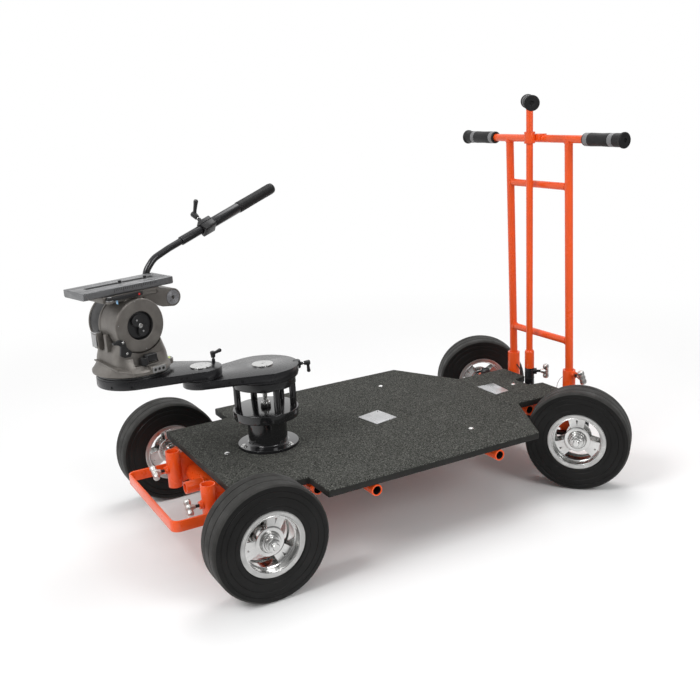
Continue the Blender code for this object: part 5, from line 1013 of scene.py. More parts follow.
for side, sign in (("near", 1), ("far", -1)):
    place = (sign * 0.1165, 0.516, 0)
    socket = pipe(0.0170, 0.0117, 0.105, 0.2545, "Z", place, edge=0.001, steps=56)
    base = pipe(0.0150, 0.0040, 0.1055, 0.1110, "Z", place, steps=40)
    shells = [socket, base, bar(0.0021, 0.110, 0.184, "Z", (place[0] - sign * 0.0165, 0.500, 0), 0.001, 16)]
    if side == "near":
        shells += [bar(0.0090, 0.1325, 0.1405, "X", (0, 0.516, 0.2435), steps=36), weld(0.0090, (0.1332, 0.516, 0.2435), "X", 0.0012)]
    make(f"rear_socket_{side}_dressed", shells, ORANGE, "chassis", stands_for=[f"rear_socket_{side}"])

# %% Steering column
column = bar(0.0090, 0.2100, 0.957, "Z", steps=40)
sleeve = lathe(
    fillet([(0.0088, 0.2400), (0.0130, 0.2400), (0.0130, 0.2860), (0.0110, 0.2917), (0.0088, 0.2917)], 0.0010, 3), 48, "Z",
)
cross = bar(0.0100, -0.139, 0.139, "X", (0, 0, 0.957), steps=40)
make(
    "steering_column_dressed", [column, sleeve, cross, weld(0.0090, (0, 0, 0.9475), thickness=0.0013)], ORANGE, "tiller", STEERING,
    ["steering_column"],
)

# %% [markdown]
# The clamp screws are bright castings: a shank, a flared neck, and a T of two swollen lobes that
# fingers can turn. A lathe makes each of them, and the T is turned a little about the shank, since
# nobody stops a clamp square.

# %% Cast T-handles


def t_handle(reach, roll, half=0.0195):
    neck = lathe(
        fillet(
            [(0, reach - 0.0145, 0), (0.0058, reach - 0.0145), (0.0066, reach - 0.0100), (0.0098, reach - 0.001, 0.002),
             (0.0080, reach + 0.005, 0.002), (0, reach + 0.006, 0)],
            0.0008, 4,
        ),
        32, "X",
    )
    wing = lathe(
        fillet(
            [(0, -half, 0), (0.0080, -half, 0.0055), (0.0098, -half * 0.68, 0.006), (0.0082, -half * 0.32, 0.01), (0.0092, 0, 0.009),
             (0.0082, half * 0.32, 0.01), (0.0098, half * 0.68, 0.006), (0.0080, half, 0.0055), (0, half, 0)],
            steps=6,
        ),
        32, "Z",
    )
    bmesh.ops.scale(wing, vec=(0.86, 1.0, 1.0), verts=wing.verts)
    return [neck, carried(wing, tip(roll, "X"), Matrix.Translation((reach, 0, 0)))]


def clamp_screw(name, body, place, reach, roll):
    """A cast T-handle and its dark threaded shank."""
    make(name + "_dressed", t_handle(reach, roll), CAST, body, place, [name], 40)
    make(name + "_shank", [threaded(0.0040, -0.009, reach - 0.0135)], IRON, body, place)


FRONT_ROLL = {"near": 35, "far": 62}
for side, sign in (("near", 1), ("far", -1)):
    place = PLAN @ spot(sign * 0.119, -0.553, 0.14925, -90)
    clamp_screw(f"front_clamp_screw_{side}", f"front_clamp_{side}", place, 0.024, FRONT_ROLL[side])
place = PLAN @ spot(0.1165 + 0.024, 0.516, 0.2435)
clamp_screw("push_bar_clamp_screw", "push_bar_clamp", place, 0.026, 20)
place = STEERING @ spot(0, boss_end, 0.230, 90)
clamp_screw("column_clamp_screw", "column_clamp", place, 0.025, 0)


# %% [markdown]
# ## The turret
#
# A flanged column is bolted to the deck, and a cage of round posts on it carries the bearing of
# the arm. On the real dolly each of these is turned from bar and painted a glossy black, so each is
# a lathe profile here, with a generous fillet at the column's foot, where the bright line sits.

# %% Turret
BLACK = finish("glossy_black", (0.011, 0.011, 0.012), 0.11, tone=0.75, patch=16.0, grain=700.0, bump=0.03, scuff=0.05, under=(0.05, 0.05, 0.05), coat=0.5, swing=0.03)
column = lathe(
    fillet(
        [(0, 0.2043, 0), (0.0724, 0.2043), (0.0724, 0.2113), (0.0468, 0.2113, 0.0055), (0.0468, 0.2763), (0, 0.2763, 0)],
        0.0009, 5,
    ),
    96,
)
make("turret_column_dressed", [column], BLACK, "chassis", TURRET, ["turret_column"], 35)

bolts = []
for angle in (-90, 30, 150):
    x, y = 0.0628 * math.cos(math.radians(angle)), 0.0628 * math.sin(math.radians(angle))
    dome = lathe(
        fillet([(0, 0.2108, 0), (0.0078, 0.2108), (0.0078, 0.2124), (0.0052, 0.2128), (0.0050, 0.2158, 0.0012), (0, 0.2166, 0)], 0.0005, 3),
        32, "Z", (x, y, 0),
    )
    bolts.append(dome)
make("turret_bolts", bolts, STEEL, "chassis", TURRET)

HOUSING = 0.3543
ring = lathe(fillet([(0, 0.2766, 0), (0.0773, 0.2766), (0.0773, 0.2976), (0, 0.2976, 0)], 0.0014, 4), 96)
posts = []
for angle in (1, 61, 121, 181, 241):
    x, y = 0.066 * math.cos(math.radians(angle)), 0.066 * math.sin(math.radians(angle))
    posts.append(bar(0.0080, 0.2966, HOUSING + 0.002, "Z", (x, y, 0), steps=32))
    posts.append(bar(0.0089, 0.2972, 0.2984, "Z", (x, y, 0), 0.0005, 32))
bowl = lathe(
    fillet(
        [
            (0.0064, HOUSING - 0.0200), (0.0150, HOUSING - 0.0200, 0.002), (0.0340, HOUSING - 0.0130, 0.012), (0.0600, HOUSING - 0.0010, 0.012),
            (0.0735, HOUSING + 0.0006, 0.003), (0.0758, HOUSING + 0.0030, 0.002), (0.0758, 0.3743), (0.0324, 0.3743), (0.0324, HOUSING + 0.0030), (0.0064, HOUSING + 0.0030),
        ],
        0.0010, 5,
    ),
    96,
)
make("turret_cage_dressed", [ring, *posts, bowl], BLACK, "chassis", TURRET, ["turret_cage"], 35)
race = lathe(
    fillet(
        [(0.0205, 0.3577), (0.0318, 0.3577), (0.0318, 0.3732), (0.0280, 0.3732), (0.0270, 0.3716), (0.0250, 0.3716), (0.0240, 0.3732), (0.0205, 0.3732)],
        0.0005, 3,
    ),
    64,
)
make("turret_bearing_dressed", [race], STEEL, "chassis", TURRET, ["turret_bearing"], 35)

# %% [markdown]
# The tie-down sits in the cage: a black knob under a bright knurled ring, on a threaded stud that
# runs up into the housing. The knurl is a ring of small teeth, so its outline is a star of many
# points. The thread is turned as a row of rings, which looks the same at this size.

# %% Tie-down
teeth = []
for i in range(96):
    reach = 0.0118 if i % 2 else 0.0111
    teeth.append((reach * math.cos(math.pi * i / 48), reach * math.sin(math.pi * i / 48)))
knurled = slab(teeth, 0.3047, 0.3096, edge=0.0004)
knob = lathe(fillet([(0, 0.2979, 0), (0.0124, 0.2979, 0.001), (0.0124, 0.3038, 0.0015), (0.0112, 0.3049, 0.001), (0, 0.3049, 0)], 0.0008, 4), 40)
shells = [bar(0.0052, 0.3040, 0.3482, "Z", steps=24), threaded(0.0056, 0.3160, 0.3460, 0.00125, "Z")]
collar = lathe(fillet([(0, 0.3090, 0), (0.0076, 0.3090), (0.0076, 0.3158, 0.001), (0, 0.3168, 0)], 0.0006, 3), 32)
make("tie_down_steel", [knurled, *shells, collar], STEEL, "tie_down", TURRET, ["tie_down_knob"], 35)
make("tie_down_grip", [knob], MOULDED, "tie_down", TURRET, angle=35)

# %% [markdown]
# ## The two arms
#
# Each arm is a thick plate cut as a teardrop: a big round end, a small one, and the two lines that
# touch both. It turns on a spacer disc. Set screws sit in the edges, a bright cap with spanner
# holes closes each pivot, and a small clamping lever stops it.

# %% Arm plates


def teardrop(big, small, length, steps=48):
    """The outline round two circles: a big one at 0 and a small one at the length, on X."""
    lean = math.degrees(math.acos((big - small) / length))
    return arc((0, 0), big, lean, 360 - lean, steps) + arc((length, 0), small, -lean, lean, steps // 2)


def set_screw(place, radius=0.0030, depth=0.0022):
    """A recess for a screw along X, and the socket screw at its bottom."""
    recess = bar(radius, -depth, 0.01, "X", edge=0, steps=24)
    key = carve(bar(radius - 0.0002, -0.006, 0.3 * depth - depth, "X", edge=0.0003, steps=24), slab(hexagon(0.0026), -0.003, 0.003, "X", edge=0))
    return carried(recess, place), carried(key, place)


def side_places(big, small, length, level, shares):
    """Places on the arm's camera side, at these shares of its straight edge, facing outwards."""
    lean = math.acos((big - small) / length)
    places = []
    for share in shares:
        x = big * math.cos(lean) * (1 - share) + (length + small * math.cos(lean)) * share
        y = (big * (1 - share) + small * share) * math.sin(lean)
        places.append(spot(x, y, level, math.degrees(lean)))
    return places


def pivot_cap(top, height, notch, holes):
    """A bright disc with a spanner notch in its rim and blind holes in its face."""
    disc = lathe(fillet([(0, top - 0.0015, 0), (0.0250, top - 0.0015), (0.0250, top + height), (0, top + height, 0)], 0.0006, 3), 80)
    turn = math.radians(notch)
    cutters = [carried(brick((-0.0028, -0.0018, top + height - 0.0017), (0.0060, 0.0018, top + height + 0.01), 0), spot(0.0235 * math.cos(turn), 0.0235 * math.sin(turn), 0, notch))]
    for radius, angle, size in holes:
        x, y = radius * math.cos(math.radians(angle)), radius * math.sin(math.radians(angle))
        cutters.append(bar(size, top + 0.0008, top + 0.02, "Z", (x, y, 0), 0, 24))
    return carve(disc, *cutters)


LOWER = {"big": 0.0843, "small": 0.0450, "length": 0.150}
UPPER = {"big": 0.0828, "small": 0.0465, "length": 0.150}
plate = slab(teardrop(**LOWER), 0.3826, 0.4016, edge=0.0011)
screws = [set_screw(place) for place in side_places(**LOWER, level=0.3916, shares=(0.411, 0.613))]
plate = carve(plate, *[hole for hole, _ in screws])
spacer = lathe(fillet([(0.0190, 0.3746), (0.0800, 0.3746, 0.001), (0.0825, 0.3772, 0.001), (0.0825, 0.3832), (0.0190, 0.3832)], 0.0007, 4), 112)
spindle = bar(0.0198, 0.3577, 0.3850, "Z", steps=56)
elbow_ring = lathe(fillet([(0.0100, 0.3956), (0.0466, 0.3956), (0.0466, 0.4016), (0.0100, 0.4016)], 0.0008, 4), 96, "Z", (0.150, 0, 0))
lever_boss = carried(
    lathe(fillet([(0, 0.0740, 0), (0.0112, 0.0740), (0.0118, 0.0855, 0.002), (0.0100, 0.0902, 0.003), (0.0043, 0.0902), (0.0043, 0.0762), (0, 0.0762, 0)], 0.0008, 4), 40, "X"),
    spot(0, 0, 0.3921, 167),
)
make("lower_arm_dressed", [plate, spacer, spindle, elbow_ring, lever_boss], SATIN, "lower_arm", LOWER_ARM, ["lower_arm"], 35)
make("lower_arm_screws", [screw for _, screw in screws], IRON, "lower_arm", LOWER_ARM)
LOWER_CAP = turned_steel("lower_cap_steel", (LOWER_ARM @ Vector((0, 0, 0)))[:])
cap = pivot_cap(0.4016, 0.0030, 86, ((0, 0, 0.0028), (0.0085, 205, 0.0011)))
pin = bar(0.0098, 0.3990, 0.4195, "Z", (0.150, 0, 0), steps=40)
make("lower_arm_cap", [cap, pin], LOWER_CAP, "lower_arm", LOWER_ARM)

plate = slab(
    [(0.150 - x, -y) for x, y in teardrop(**UPPER)], 0.4065, 0.4255, edge=0.0011,
)
mirrored = {"big": UPPER["small"], "small": UPPER["big"], "length": 0.150}
screws = [set_screw(place) for place in side_places(**mirrored, level=0.4165, shares=(0.2875, 0.3637))]
for angle in (19.6, 61.3, 92.6):
    screws.append(set_screw(spot(0.150, 0, 0.4135, angle) @ Matrix.Translation((0.0828, 0, 0))))
lever_x, lever_y = 0.040 * math.cos(math.radians(-133)), 0.040 * math.sin(math.radians(-133))
bore = bar(0.0103, 0.40, 0.4201, "Z", steps=40, edge=0)
lever_hole = bar(0.0044, 0.4115, 0.44, "Z", (lever_x, lever_y, 0), 0, 28)
plate = carve(plate, bore, lever_hole, *[hole for hole, _ in screws])
spacer = lathe(fillet([(0.0103, 0.4020), (0.0450, 0.4020), (0.0450, 0.4070), (0.0103, 0.4070)], 0.0007, 4), 96)
adapter = lathe(fillet([(0, 0.4250, 0), (0.0816, 0.4250), (0.0816, 0.4300), (0, 0.4300, 0)], 0.0012, 4), 112, "Z", (0.150, 0, 0))
make("upper_arm_dressed", [plate, spacer, adapter], SATIN, "upper_arm", UPPER_ARM, ["upper_arm"], 35)
make("upper_arm_screws", [screw for _, screw in screws], IRON, "upper_arm", UPPER_ARM)
UPPER_CAP = turned_steel("upper_cap_steel", (UPPER_ARM @ Vector((0, 0, 0)))[:])
cap = pivot_cap(0.4255, 0.0030, 126, ((0, 0, 0.0016), (0.0160, 50, 0.0014), (0.0160, 230, 0.0014)))
make("upper_arm_cap", [cap], UPPER_CAP, "upper_arm", UPPER_ARM)
base = lathe(
    fillet([(0, 0.4303, 0), (0.0800, 0.4303), (0.0800, 0.4343), (0.0198, 0.4343), (0.0198, 0.4460), (0, 0.4460, 0)], 0.0008, 4), 112, "Z", (0.150, 0, 0),
)
make("head_base_dressed", [base], BLACK, "upper_arm", UPPER_ARM, ["head_base"], 35)

# %% [markdown]
# Clamping levers are bought parts: a threaded stud, a bright neck, a tapered hub, and a cranked
# handle that swells to its rounded end. Both arms have the same one, so it is built once, standing
# on Z, and laid over for the lower arm.

# %% Clamping levers


def clamping_lever(name, body, place, swing, nodes=(), pitch=25, stretch=1.0):
    stud = lathe(fillet([(0, -0.0105, 0), (0.0039, -0.0105), (0.0039, 0.0050), (0.0030, 0.0058), (0.0030, 0.0070), (0, 0.0070, 0)], 0.0004, 3), 28)
    neck = bar(0.0024, 0.0065, 0.0095, "Z", edge=0.0003, steps=24)
    hub = lathe(
        fillet([(0, 0.0090, 0), (0.0048, 0.0090), (0.0064, 0.0212, 0.002), (0.0052, 0.0238, 0.0015), (0, 0.0242, 0)], 0.0006, 4), 32,
    )
    handle = lathe(
        fillet([(0, -0.001, 0), (0.0042, -0.001), (0.0034, 0.0080, 0.006), (0.0040, 0.0200, 0.008), (0.0047, 0.0262, 0.004), (0.0030, 0.0292, 0.002), (0, 0.0296, 0)], 0.0008, 4),
        28, "X",
    )
    bmesh.ops.scale(handle, vec=(stretch, 1, 1), verts=handle.verts)
    carried(handle, tip(-pitch, "Y"), Matrix.Translation((0.001, 0, 0.0184)), tip(swing, "Z"))
    make(name + "_dressed", [hub, handle], MOULDED, body, place, nodes, 40)
    make(name + "_stud", [stud], IRON, body, place)
    make(name + "_neck", [neck], STEEL, body, place)


clamping_lever("upper_arm_lever", "upper_arm_lever", UPPER_ARM @ spot(lever_x, lever_y, 0.4275), 134, ["upper_arm_lever"])
place = LOWER_ARM @ spot(0, 0, 0.3921, 167) @ Matrix.Translation((0.0903, 0, 0)) @ ALONG["X"]
clamping_lever("lower_arm_lever", "lower_arm_lever", place, 5, ["lower_arm_lever"], pitch=5, stretch=0.78)

# %% [markdown]
# ## The fluid head
#
# The head's casting starts round at its foot and is nearly square at its shoulders. It is skinned
# through level outlines, superellipses whose power rises on the way up, and then cut: the cradle
# for the drum, the flat near cheek, and the pocket of the brake. The castings are painted in a
# bronze-grey hammered enamel.

# %% Skins through level outlines


def squarish(half_x, half_y, power, count=96):
    """A superellipse: power 2 is an ellipse, and higher powers are nearer a rectangle."""
    points = []
    for i in range(count):
        c, s = math.cos(2 * math.pi * i / count), math.sin(2 * math.pi * i / count)
        points.append((half_x * math.copysign(abs(c) ** (2 / power), c), half_y * math.copysign(abs(s) ** (2 / power), s)))
    return points


def skin(levels):
    """A closed skin through outlines of equal point counts, each with its height."""
    bm = bmesh.new()
    loops = [[bm.verts.new((x, y, height)) for x, y in outline] for height, outline in levels]
    count = len(loops[0])
    for low, high in zip(loops, loops[1:]):
        for i in range(count):
            bm.faces.new((low[i - 1], low[i], high[i], high[i - 1]))
    bm.faces.new(loops[0])
    bm.faces.new(loops[-1])
    return sealed(bm)


def blended(levels, steps=5):
    """More (height, half x, half y, power) levels between the given ones, on a smooth curve."""
    smooth = []
    for i in range(len(levels) - 1):
        before = levels[max(i - 1, 0)]
        after = levels[min(i + 2, len(levels) - 1)]
        for step in range(steps):
            t = step / steps
            row = []
            for a, b, c, d in zip(before, levels[i], levels[i + 1], after):
                row.append(0.5 * (2 * b + (c - a) * t + (2 * a - 5 * b + 4 * c - d) * t ** 2 + (3 * b - a - 3 * c + d) * t ** 3))
            smooth.append(row)
    return smooth + [list(levels[-1])]


print("an outline has", len(squarish(1, 1, 2)), "points")

# %% Pan body
FLOOR = 0.4346
AXIS_Z = 0.540
SHOULDER = 0.4736


def drum_room():
    """The round room that the tilting drum turns in."""
    return bar(0.0613, -0.2, 0.2, "X", (0, 0, AXIS_Z), 0, 128)


foot = [(FLOOR, 0.0800, 0.0800, 2.0), (FLOOR + 0.0012, 0.0822, 0.0822, 2.0), (FLOOR + 0.0030, 0.0835, 0.0835, 2.0), (FLOOR + 0.0085, 0.0833, 0.0833, 2.0)]
rise = blended([(FLOOR + 0.0110, 0.0790, 0.0795, 2.25), (FLOOR + 0.0175, 0.0680, 0.0710, 3.2), (SHOULDER, 0.0585, 0.0655, 4.5), (0.504, 0.0570, 0.0535, 5.0)])
casting = skin([(level[0], squarish(*level[1:])) for level in [*foot, *rise]])
panel_low = arc((0, 0), 0.0893, 207, 333, 24)
panel_mid = arc((0, 0), 0.0893, 209, 331, 24)
panel_high = [(-0.032 + 0.098 * i / 24, -0.0752 + 0.003 * (abs(i - 12) / 12) ** 2) for i in range(25)]
back = [(0.045, -0.030), (-0.045, -0.030)]
front_panel = skin([(FLOOR + 0.0035, panel_low + back), (FLOOR + 0.0080, panel_mid + back), (0.4660, panel_high + back)])
for vert in front_panel.verts:
    if vert.co.z > 0.465:
        vert.co.z -= 0.115 * (vert.co.x + 0.028)
ridge = rod_along([(-0.031, -0.0744, 0.4663), (-0.008, -0.0757, 0.4643), (0.030, -0.0757, 0.4599), (0.0635, -0.0742, 0.4559)], 0.0019, 4)
pod = lathe(fillet([(0, FLOOR + 0.002, 0), (0.0150, FLOOR + 0.002), (0.0150, FLOOR + 0.0135), (0, FLOOR + 0.0135, 0)], 0.0014, 4), 48, "Z", (0.034, 0.0665, 0))
socket_block = brick((0.060, -0.0045, FLOOR + 0.001), (0.0845, 0.0335, FLOOR + 0.0178), 0.0022, 3)
cheek = brick((0.0540, -0.12, SHOULDER), (0.2, 0.12, AXIS_Z + 0.05), 0)
pocket = brick((0.0540, -0.0325, FLOOR + 0.0200), (0.2, 0.0275, SHOULDER + 0.012), 0.0025, 3)
spigot_hole = bar(0.0204, FLOOR - 0.01, FLOOR + 0.0123, "Z", edge=0, steps=56)
pan_hole = bar(0.0045, FLOOR + 0.0100, FLOOR + 0.030, "Z", (0.0638, -0.008, 0), 0, 24)
tilt_hole = bar(0.0045, 0.0440, 0.0640, "X", (0, -0.044, AXIS_Z - 0.0522), 0, 24)
casting = carve(casting, front_panel, ridge, pod, socket_block, operation="UNION")
casting = carve(casting, drum_room(), cheek, pocket, spigot_hole, pan_hole, tilt_hole, edge=0.0009)
latch = skin(
    [
        (AXIS_Z - 0.0530, [(-0.0320, -0.0615), (-0.0170, -0.0615), (-0.0170, -0.0450), (-0.0320, -0.0450)]),
        (AXIS_Z - 0.0470, [(-0.0360, -0.0700), (-0.0130, -0.0700), (-0.0130, -0.0450), (-0.0360, -0.0450)]),
        (AXIS_Z - 0.0120, [(-0.0370, -0.0730), (-0.0120, -0.0730), (-0.0120, -0.0450), (-0.0370, -0.0450)]),
    ]
)
bmesh.ops.bevel(latch, geom=latch.edges[:], offset=0.0018, segments=3, profile=0.5, affect="EDGES", material=-1)
strip = brick((0.0052, -0.0670, AXIS_Z - 0.0520), (0.0158, -0.0400, AXIS_Z - 0.0120), 0.0018, 3)
rib = brick((0.0520, -0.0385, FLOOR + 0.0190), (0.0562, -0.0340, SHOULDER + 0.0010), 0.0012, 2)
latch = carve(latch, drum_room())
strip = carve(strip, drum_room())
make("head_body_dressed", [casting, latch, strip, rib], ENAMEL, "head", HEAD, ["head_pan_body"], 32)

# %% [markdown]
# Small things make a casting look real: the steel pad of the latch, a bubble in its brass-green
# vial, and the three contacts of a socket. They are pieces of their own, because their finishes
# differ from the paint round them.

# %% Fittings of the body
pads = [
    brick((-0.0345, -0.0742, AXIS_Z - 0.0440), (-0.0150, -0.0722, AXIS_Z - 0.0150), 0.0008),
    brick((-0.0352, -0.0745, AXIS_Z - 0.0135), (-0.0138, -0.0600, AXIS_Z - 0.0108), 0.0008),
]
make("latch_trim", pads, TRIM, "head", HEAD)
vial = lathe(fillet([(0, FLOOR + 0.0125, 0), (0.0106, FLOOR + 0.0125), (0.0094, FLOOR + 0.0153, 0.002), (0, FLOOR + 0.0162, 0)], 0.0008, 4), 32, "Z", (0.034, 0.0665, 0))
make("level_vial", [vial], BUBBLE, "head", HEAD)
rim = lathe(fillet([(0.0107, FLOOR + 0.0130), (0.0134, FLOOR + 0.0130), (0.0130, FLOOR + 0.0148), (0.0107, FLOOR + 0.0148)], 0.0004, 3), 40, "Z", (0.034, 0.0665, 0))
make("level_rim", [rim], TRIM, "head", HEAD)
face = slab(fillet([(-0.0170, -0.0020, 0.003), (-0.0030, -0.0020, 0.003), (-0.0030, 0.0310, 0.003), (-0.0170, 0.0310, 0.003)], steps=4), 0.0842, 0.0862, "X", (0, 0, FLOOR), 0.0005)
contacts = [bar(0.0036, 0.0850, 0.0900, "X", (0, y, FLOOR + 0.0100), 0, 24) for y in (0.0045, 0.0145, 0.0245)]
make("socket_face", [carve(face, *contacts)], TRIM, "head", HEAD)
pins = [bar(0.0035, 0.0838, 0.0854, "X", (0, y, FLOOR + 0.0100), 0.0004, 20) for y in (0.0045, 0.0145, 0.0245)]
make("socket_contacts", pins, RECESS, "head", HEAD)

# %% [markdown]
# ## Brakes
#
# Two black moulded levers: the pan brake lies in the pocket over its own round hub, and the tilt
# brake stands on the cheek, a flat plate with two bright screws.

# %% Brake levers
PAN_BRAKE = HEAD @ spot(0.0638, -0.008, 0.4549)
TILT_BRAKE = HEAD @ Matrix.Translation((0.0543, -0.044, 0.4878))
hub = bar(0.0095, 0.0003, 0.0170, "Z", edge=0.0012, steps=40)
pin = bar(0.0039, -0.0088, 0.0020, "Z", edge=0.0004, steps=24)
thumb = brick((-0.0068, 0.0010, 0.0045), (0.0068, 0.0308, 0.0223), 0.0030, 4)
groove = brick((0.0055, 0.0060, 0.0070), (0.0090, 0.0280, 0.0200), 0.0015)
lever = carve(carve(hub, pin, thumb, operation="UNION"), groove, edge=0.0006)
make("pan_brake_dressed", [lever], MOULDED, "pan_brake", PAN_BRAKE, ["pan_brake_lever"], 40)
outline = fillet(
    [
        (-0.0172, -0.0022, 0.003), (-0.0075, -0.0075, 0.004), (0.0061, -0.0084, 0.004), (0.0109, 0.0012, 0.004), (-0.0004, 0.0144, 0.006),
        (-0.0028, 0.0290, 0.004), (-0.0150, 0.0338, 0.006), (-0.0325, 0.0300, 0.001), (-0.0300, 0.0257, 0.002), (-0.0200, 0.0236, 0.003), (-0.0140, 0.0185, 0.003),
    ],
    steps=6,
)
blade = slab([(-height, across) for across, height in outline], 0.0002, 0.0070, "X", edge=0.0013)
pin = bar(0.0039, -0.0088, 0.0010, "X", edge=0.0004, steps=24)
make("tilt_brake_dressed", [blade, pin], MOULDED, "tilt_brake", TILT_BRAKE, ["tilt_brake_lever"], 35)
heads = []
for y, z in ((-0.0082, 0.0266), (-0.0012, 0.0006)):
    dome = lathe(fillet([(0, 0.0066, 0), (0.0032, 0.0066), (0.0028, 0.0082, 0.001), (0, 0.0088, 0)], 0.0004, 3), 28, "X", (0, y, z))
    heads.append(dome)
make("tilt_brake_screws", heads, STEEL, "tilt_brake", TILT_BRAKE)

# %% [markdown]
# ## The tilting drum
#
# The drum is turned on the tilt axis in three lengths: a grey one at the near side, a black one,
# and a grey rim at the far side, with a raised ring between the first two. The drag knob sits in a
# dark recess of the near face.

# %% Drum
near = fillet(
    [
        (0, 0.0405, 0), (0.0312, 0.0405), (0.0312, 0.0505, 0.001), (0.0330, 0.0520, 0.001), (0.0575, 0.0520, 0.003), (0.0600, 0.0490, 0.002), (0.0598, 0.0120, 0.02), (0.0592, -0.0150, 0.002),
        (0.0606, -0.0165, 0.001), (0.0606, -0.0218, 0.001), (0.0560, -0.0222), (0, -0.0222, 0),
    ],
    0.0010, 5,
)
far = fillet([(0, -0.0618, 0), (0.0580, -0.0618), (0.0600, -0.0632), (0.0600, -0.0660, 0.002), (0.0560, -0.0680, 0.002), (0, -0.0680, 0)], 0.0008, 4)
neck = brick((-0.0360, -0.0220, 0.0400), (0.0360, 0.0220, 0.0640), 0.0015)
skirt = brick((-0.0330, -0.0400, 0.0560), (0.0330, 0.0360, 0.0630), 0.0015)
LOW, TOP = 0.061, 0.0745
table = brick((-0.0400, -0.0760, LOW), (0.0400, 0.0640, TOP), 0.0016, 3)
rail = brick((-0.0300, -0.0745, TOP - 0.0010), (0.0300, 0.0625, TOP + 0.0001), 0.0004)
hollow = brick((0.0365, 0.0230, LOW + 0.0005), (0.0500, 0.0590, TOP - 0.0055), 0.0015)
EAR = [(-0.0414 + 0.0203 * math.cos(math.radians(a)), 0.1037 + 0.0203 * math.sin(math.radians(a))) for a in range(-8, 172, 6)]
EAR += [(-LOW - 0.0065, 0.0680, 0.004), (-LOW - 0.0065, 0.0600), (-LOW - 0.0050, 0.0260), (-0.0480, 0.0304, 0.004), (-0.0425, 0.0480, 0.01), (-0.0330, 0.0610, 0.01), (-0.0250, 0.0745, 0.008)]
ear = slab(fillet(EAR, 0.0004, 3), -0.0298, 0.0298, "X", edge=0.0018)
seats = [bar(0.0172, 0.0290, 0.0400, "X", (0, 0.1037, 0.0414), 0, 64), bar(0.0172, -0.0400, -0.0290, "X", (0, 0.1037, 0.0414), 0, 64)]
lug = lathe(fillet([(0, 0.0612, 0), (0.0088, 0.0612, 0.001), (0.0095, 0.0625, 0.001), (0.0095, 0.0650), (0, 0.0650, 0)], 0.0007, 4), 40, "Z", (0.047, -0.064, 0))
arm = brick((0.0360, -0.0715, 0.0618), (0.0470, -0.0565, 0.0648), 0.0008)
shaft_hole = bar(0.0045, 0.0280, 0.0500, "X", edge=0, steps=28)
drum = carve(lathe(near, 128, "X"), shaft_hole)
make(
    "tilt_drum_dressed", [drum, lathe(far, 112, "X"), neck, skirt, carve(table, hollow, edge=0.0008), rail, carve(ear, *seats), lug, arm],
    ENAMEL, "tilt_head", TILT, ["tilt_drum"], 32,
)
barrel = lathe(fillet([(0, -0.0628, 0), (0.0580, -0.0628), (0.0583, -0.0420, 0.02), (0.0580, -0.0215), (0, -0.0215, 0)], 0.0010, 4), 112, "X")
make("drum_black_length", [barrel], MOULDED, "tilt_head", TILT, angle=35)
cup = lathe(fillet([(0.0046, 0.0395), (0.0316, 0.0395), (0.0316, 0.0514), (0.0309, 0.0514), (0.0304, 0.0407), (0.0046, 0.0407)], 0.0003, 2), 96, "X")
make("drum_recess", [cup], RECESS, "tilt_head", TILT, angle=35)
dots = []
for y, z in ((-0.0075, 0.0545), (-0.0535, 0.0095), (0.0500, -0.0225), (0.0085, -0.0535)):
    dots.append(lathe(fillet([(0, 0.0515, 0), (0.0012, 0.0515), (0.0010, 0.0524), (0, 0.0526, 0)], 0.0002, 2), 16, "X", (0, y, z)))
make("drum_pins", dots, TRIM, "tilt_head", TILT)

# %% [markdown]
# The ear at the rear carries a rosette on each side, where a pan bar can be clamped. Its face is
# turned in fine rings round a threaded hole, and one pin stops the bar from slipping.

# %% Rosettes
disc_profile = [(0.0040, 0.0285), (0.0040, 0.0300)]
for i in range(9):
    radius = 0.0050 + 0.0012 * i
    disc_profile += [(radius, 0.0303), (radius + 0.0006, 0.0300)]
disc_profile += [(0.0166, 0.0303), (0.0168, 0.0285)]
discs = [lathe(disc_profile, 72, side, (0, 0.1037, 0.0414)) for side in ("X", "-X")]
bore = [lathe(fillet([(0, 0.0284, 0), (0.0041, 0.0284), (0.0041, 0.0290), (0, 0.0290, 0)], 0.0002, 2), 28, side, (0, 0.1037, 0.0414)) for side in ("X", "-X")]
pins = [bar(0.0011, 0.0298, 0.0306, "X", (0, 0.1037 - 0.0085, 0.0414 - 0.0075), 0.0002, 16)]
ROSETTE = finish("rosette_alloy", (0.24, 0.24, 0.25), 0.48, 0.4, tone=0.85, patch=40.0, grain=900.0, bump=0.05)
make("ear_rosettes", discs, ROSETTE, "tilt_head", TILT, angle=30)
make("rosette_bores", bore + pins, RECESS, "tilt_head", TILT)

# %% [markdown]
# The drag knob is a moulded disc with a twisted two-lobed wing for finger and thumb, held by one
# slotted screw and two small ones.

# %% Drag knob
wing = []
for i in range(64):
    angle = 2 * math.pi * i / 64
    reach = 0.0145 + 0.0115 * math.cos(2 * (angle - 0.18 * math.sin(2 * angle)))
    wing.append((reach * math.cos(angle + 0.50), reach * math.sin(angle + 0.50)))
dial = lathe(fillet([(0, 0.0404, 0), (0.0300, 0.0404), (0.0296, 0.0440, 0.001), (0.0270, 0.0446, 0.001), (0, 0.0446, 0)], 0.0006, 3), 80, "X")
wing = slab(wing, 0.0436, 0.0520, "X", edge=0.0022)
shaft = bar(0.0040, 0.0300, 0.0420, "X", edge=0.0003, steps=24)
make("drag_knob_dressed", [dial, wing, shaft], MOULDED, "drag_knob", TILT, ["drag_knob"], 35)
screw = lathe(fillet([(0, 0.0510, 0), (0.0054, 0.0510), (0.0052, 0.0530, 0.0008), (0, 0.0534, 0)], 0.0004, 3), 40, "X")
slot_cut = carried(brick((0.0524, -0.0009, -0.01), (0.06, 0.0009, 0.01), 0), tip(-35, "X"))
screws = [carve(screw, slot_cut)]
make("drag_knob_screw", screws, STEEL, "drag_knob", TILT)
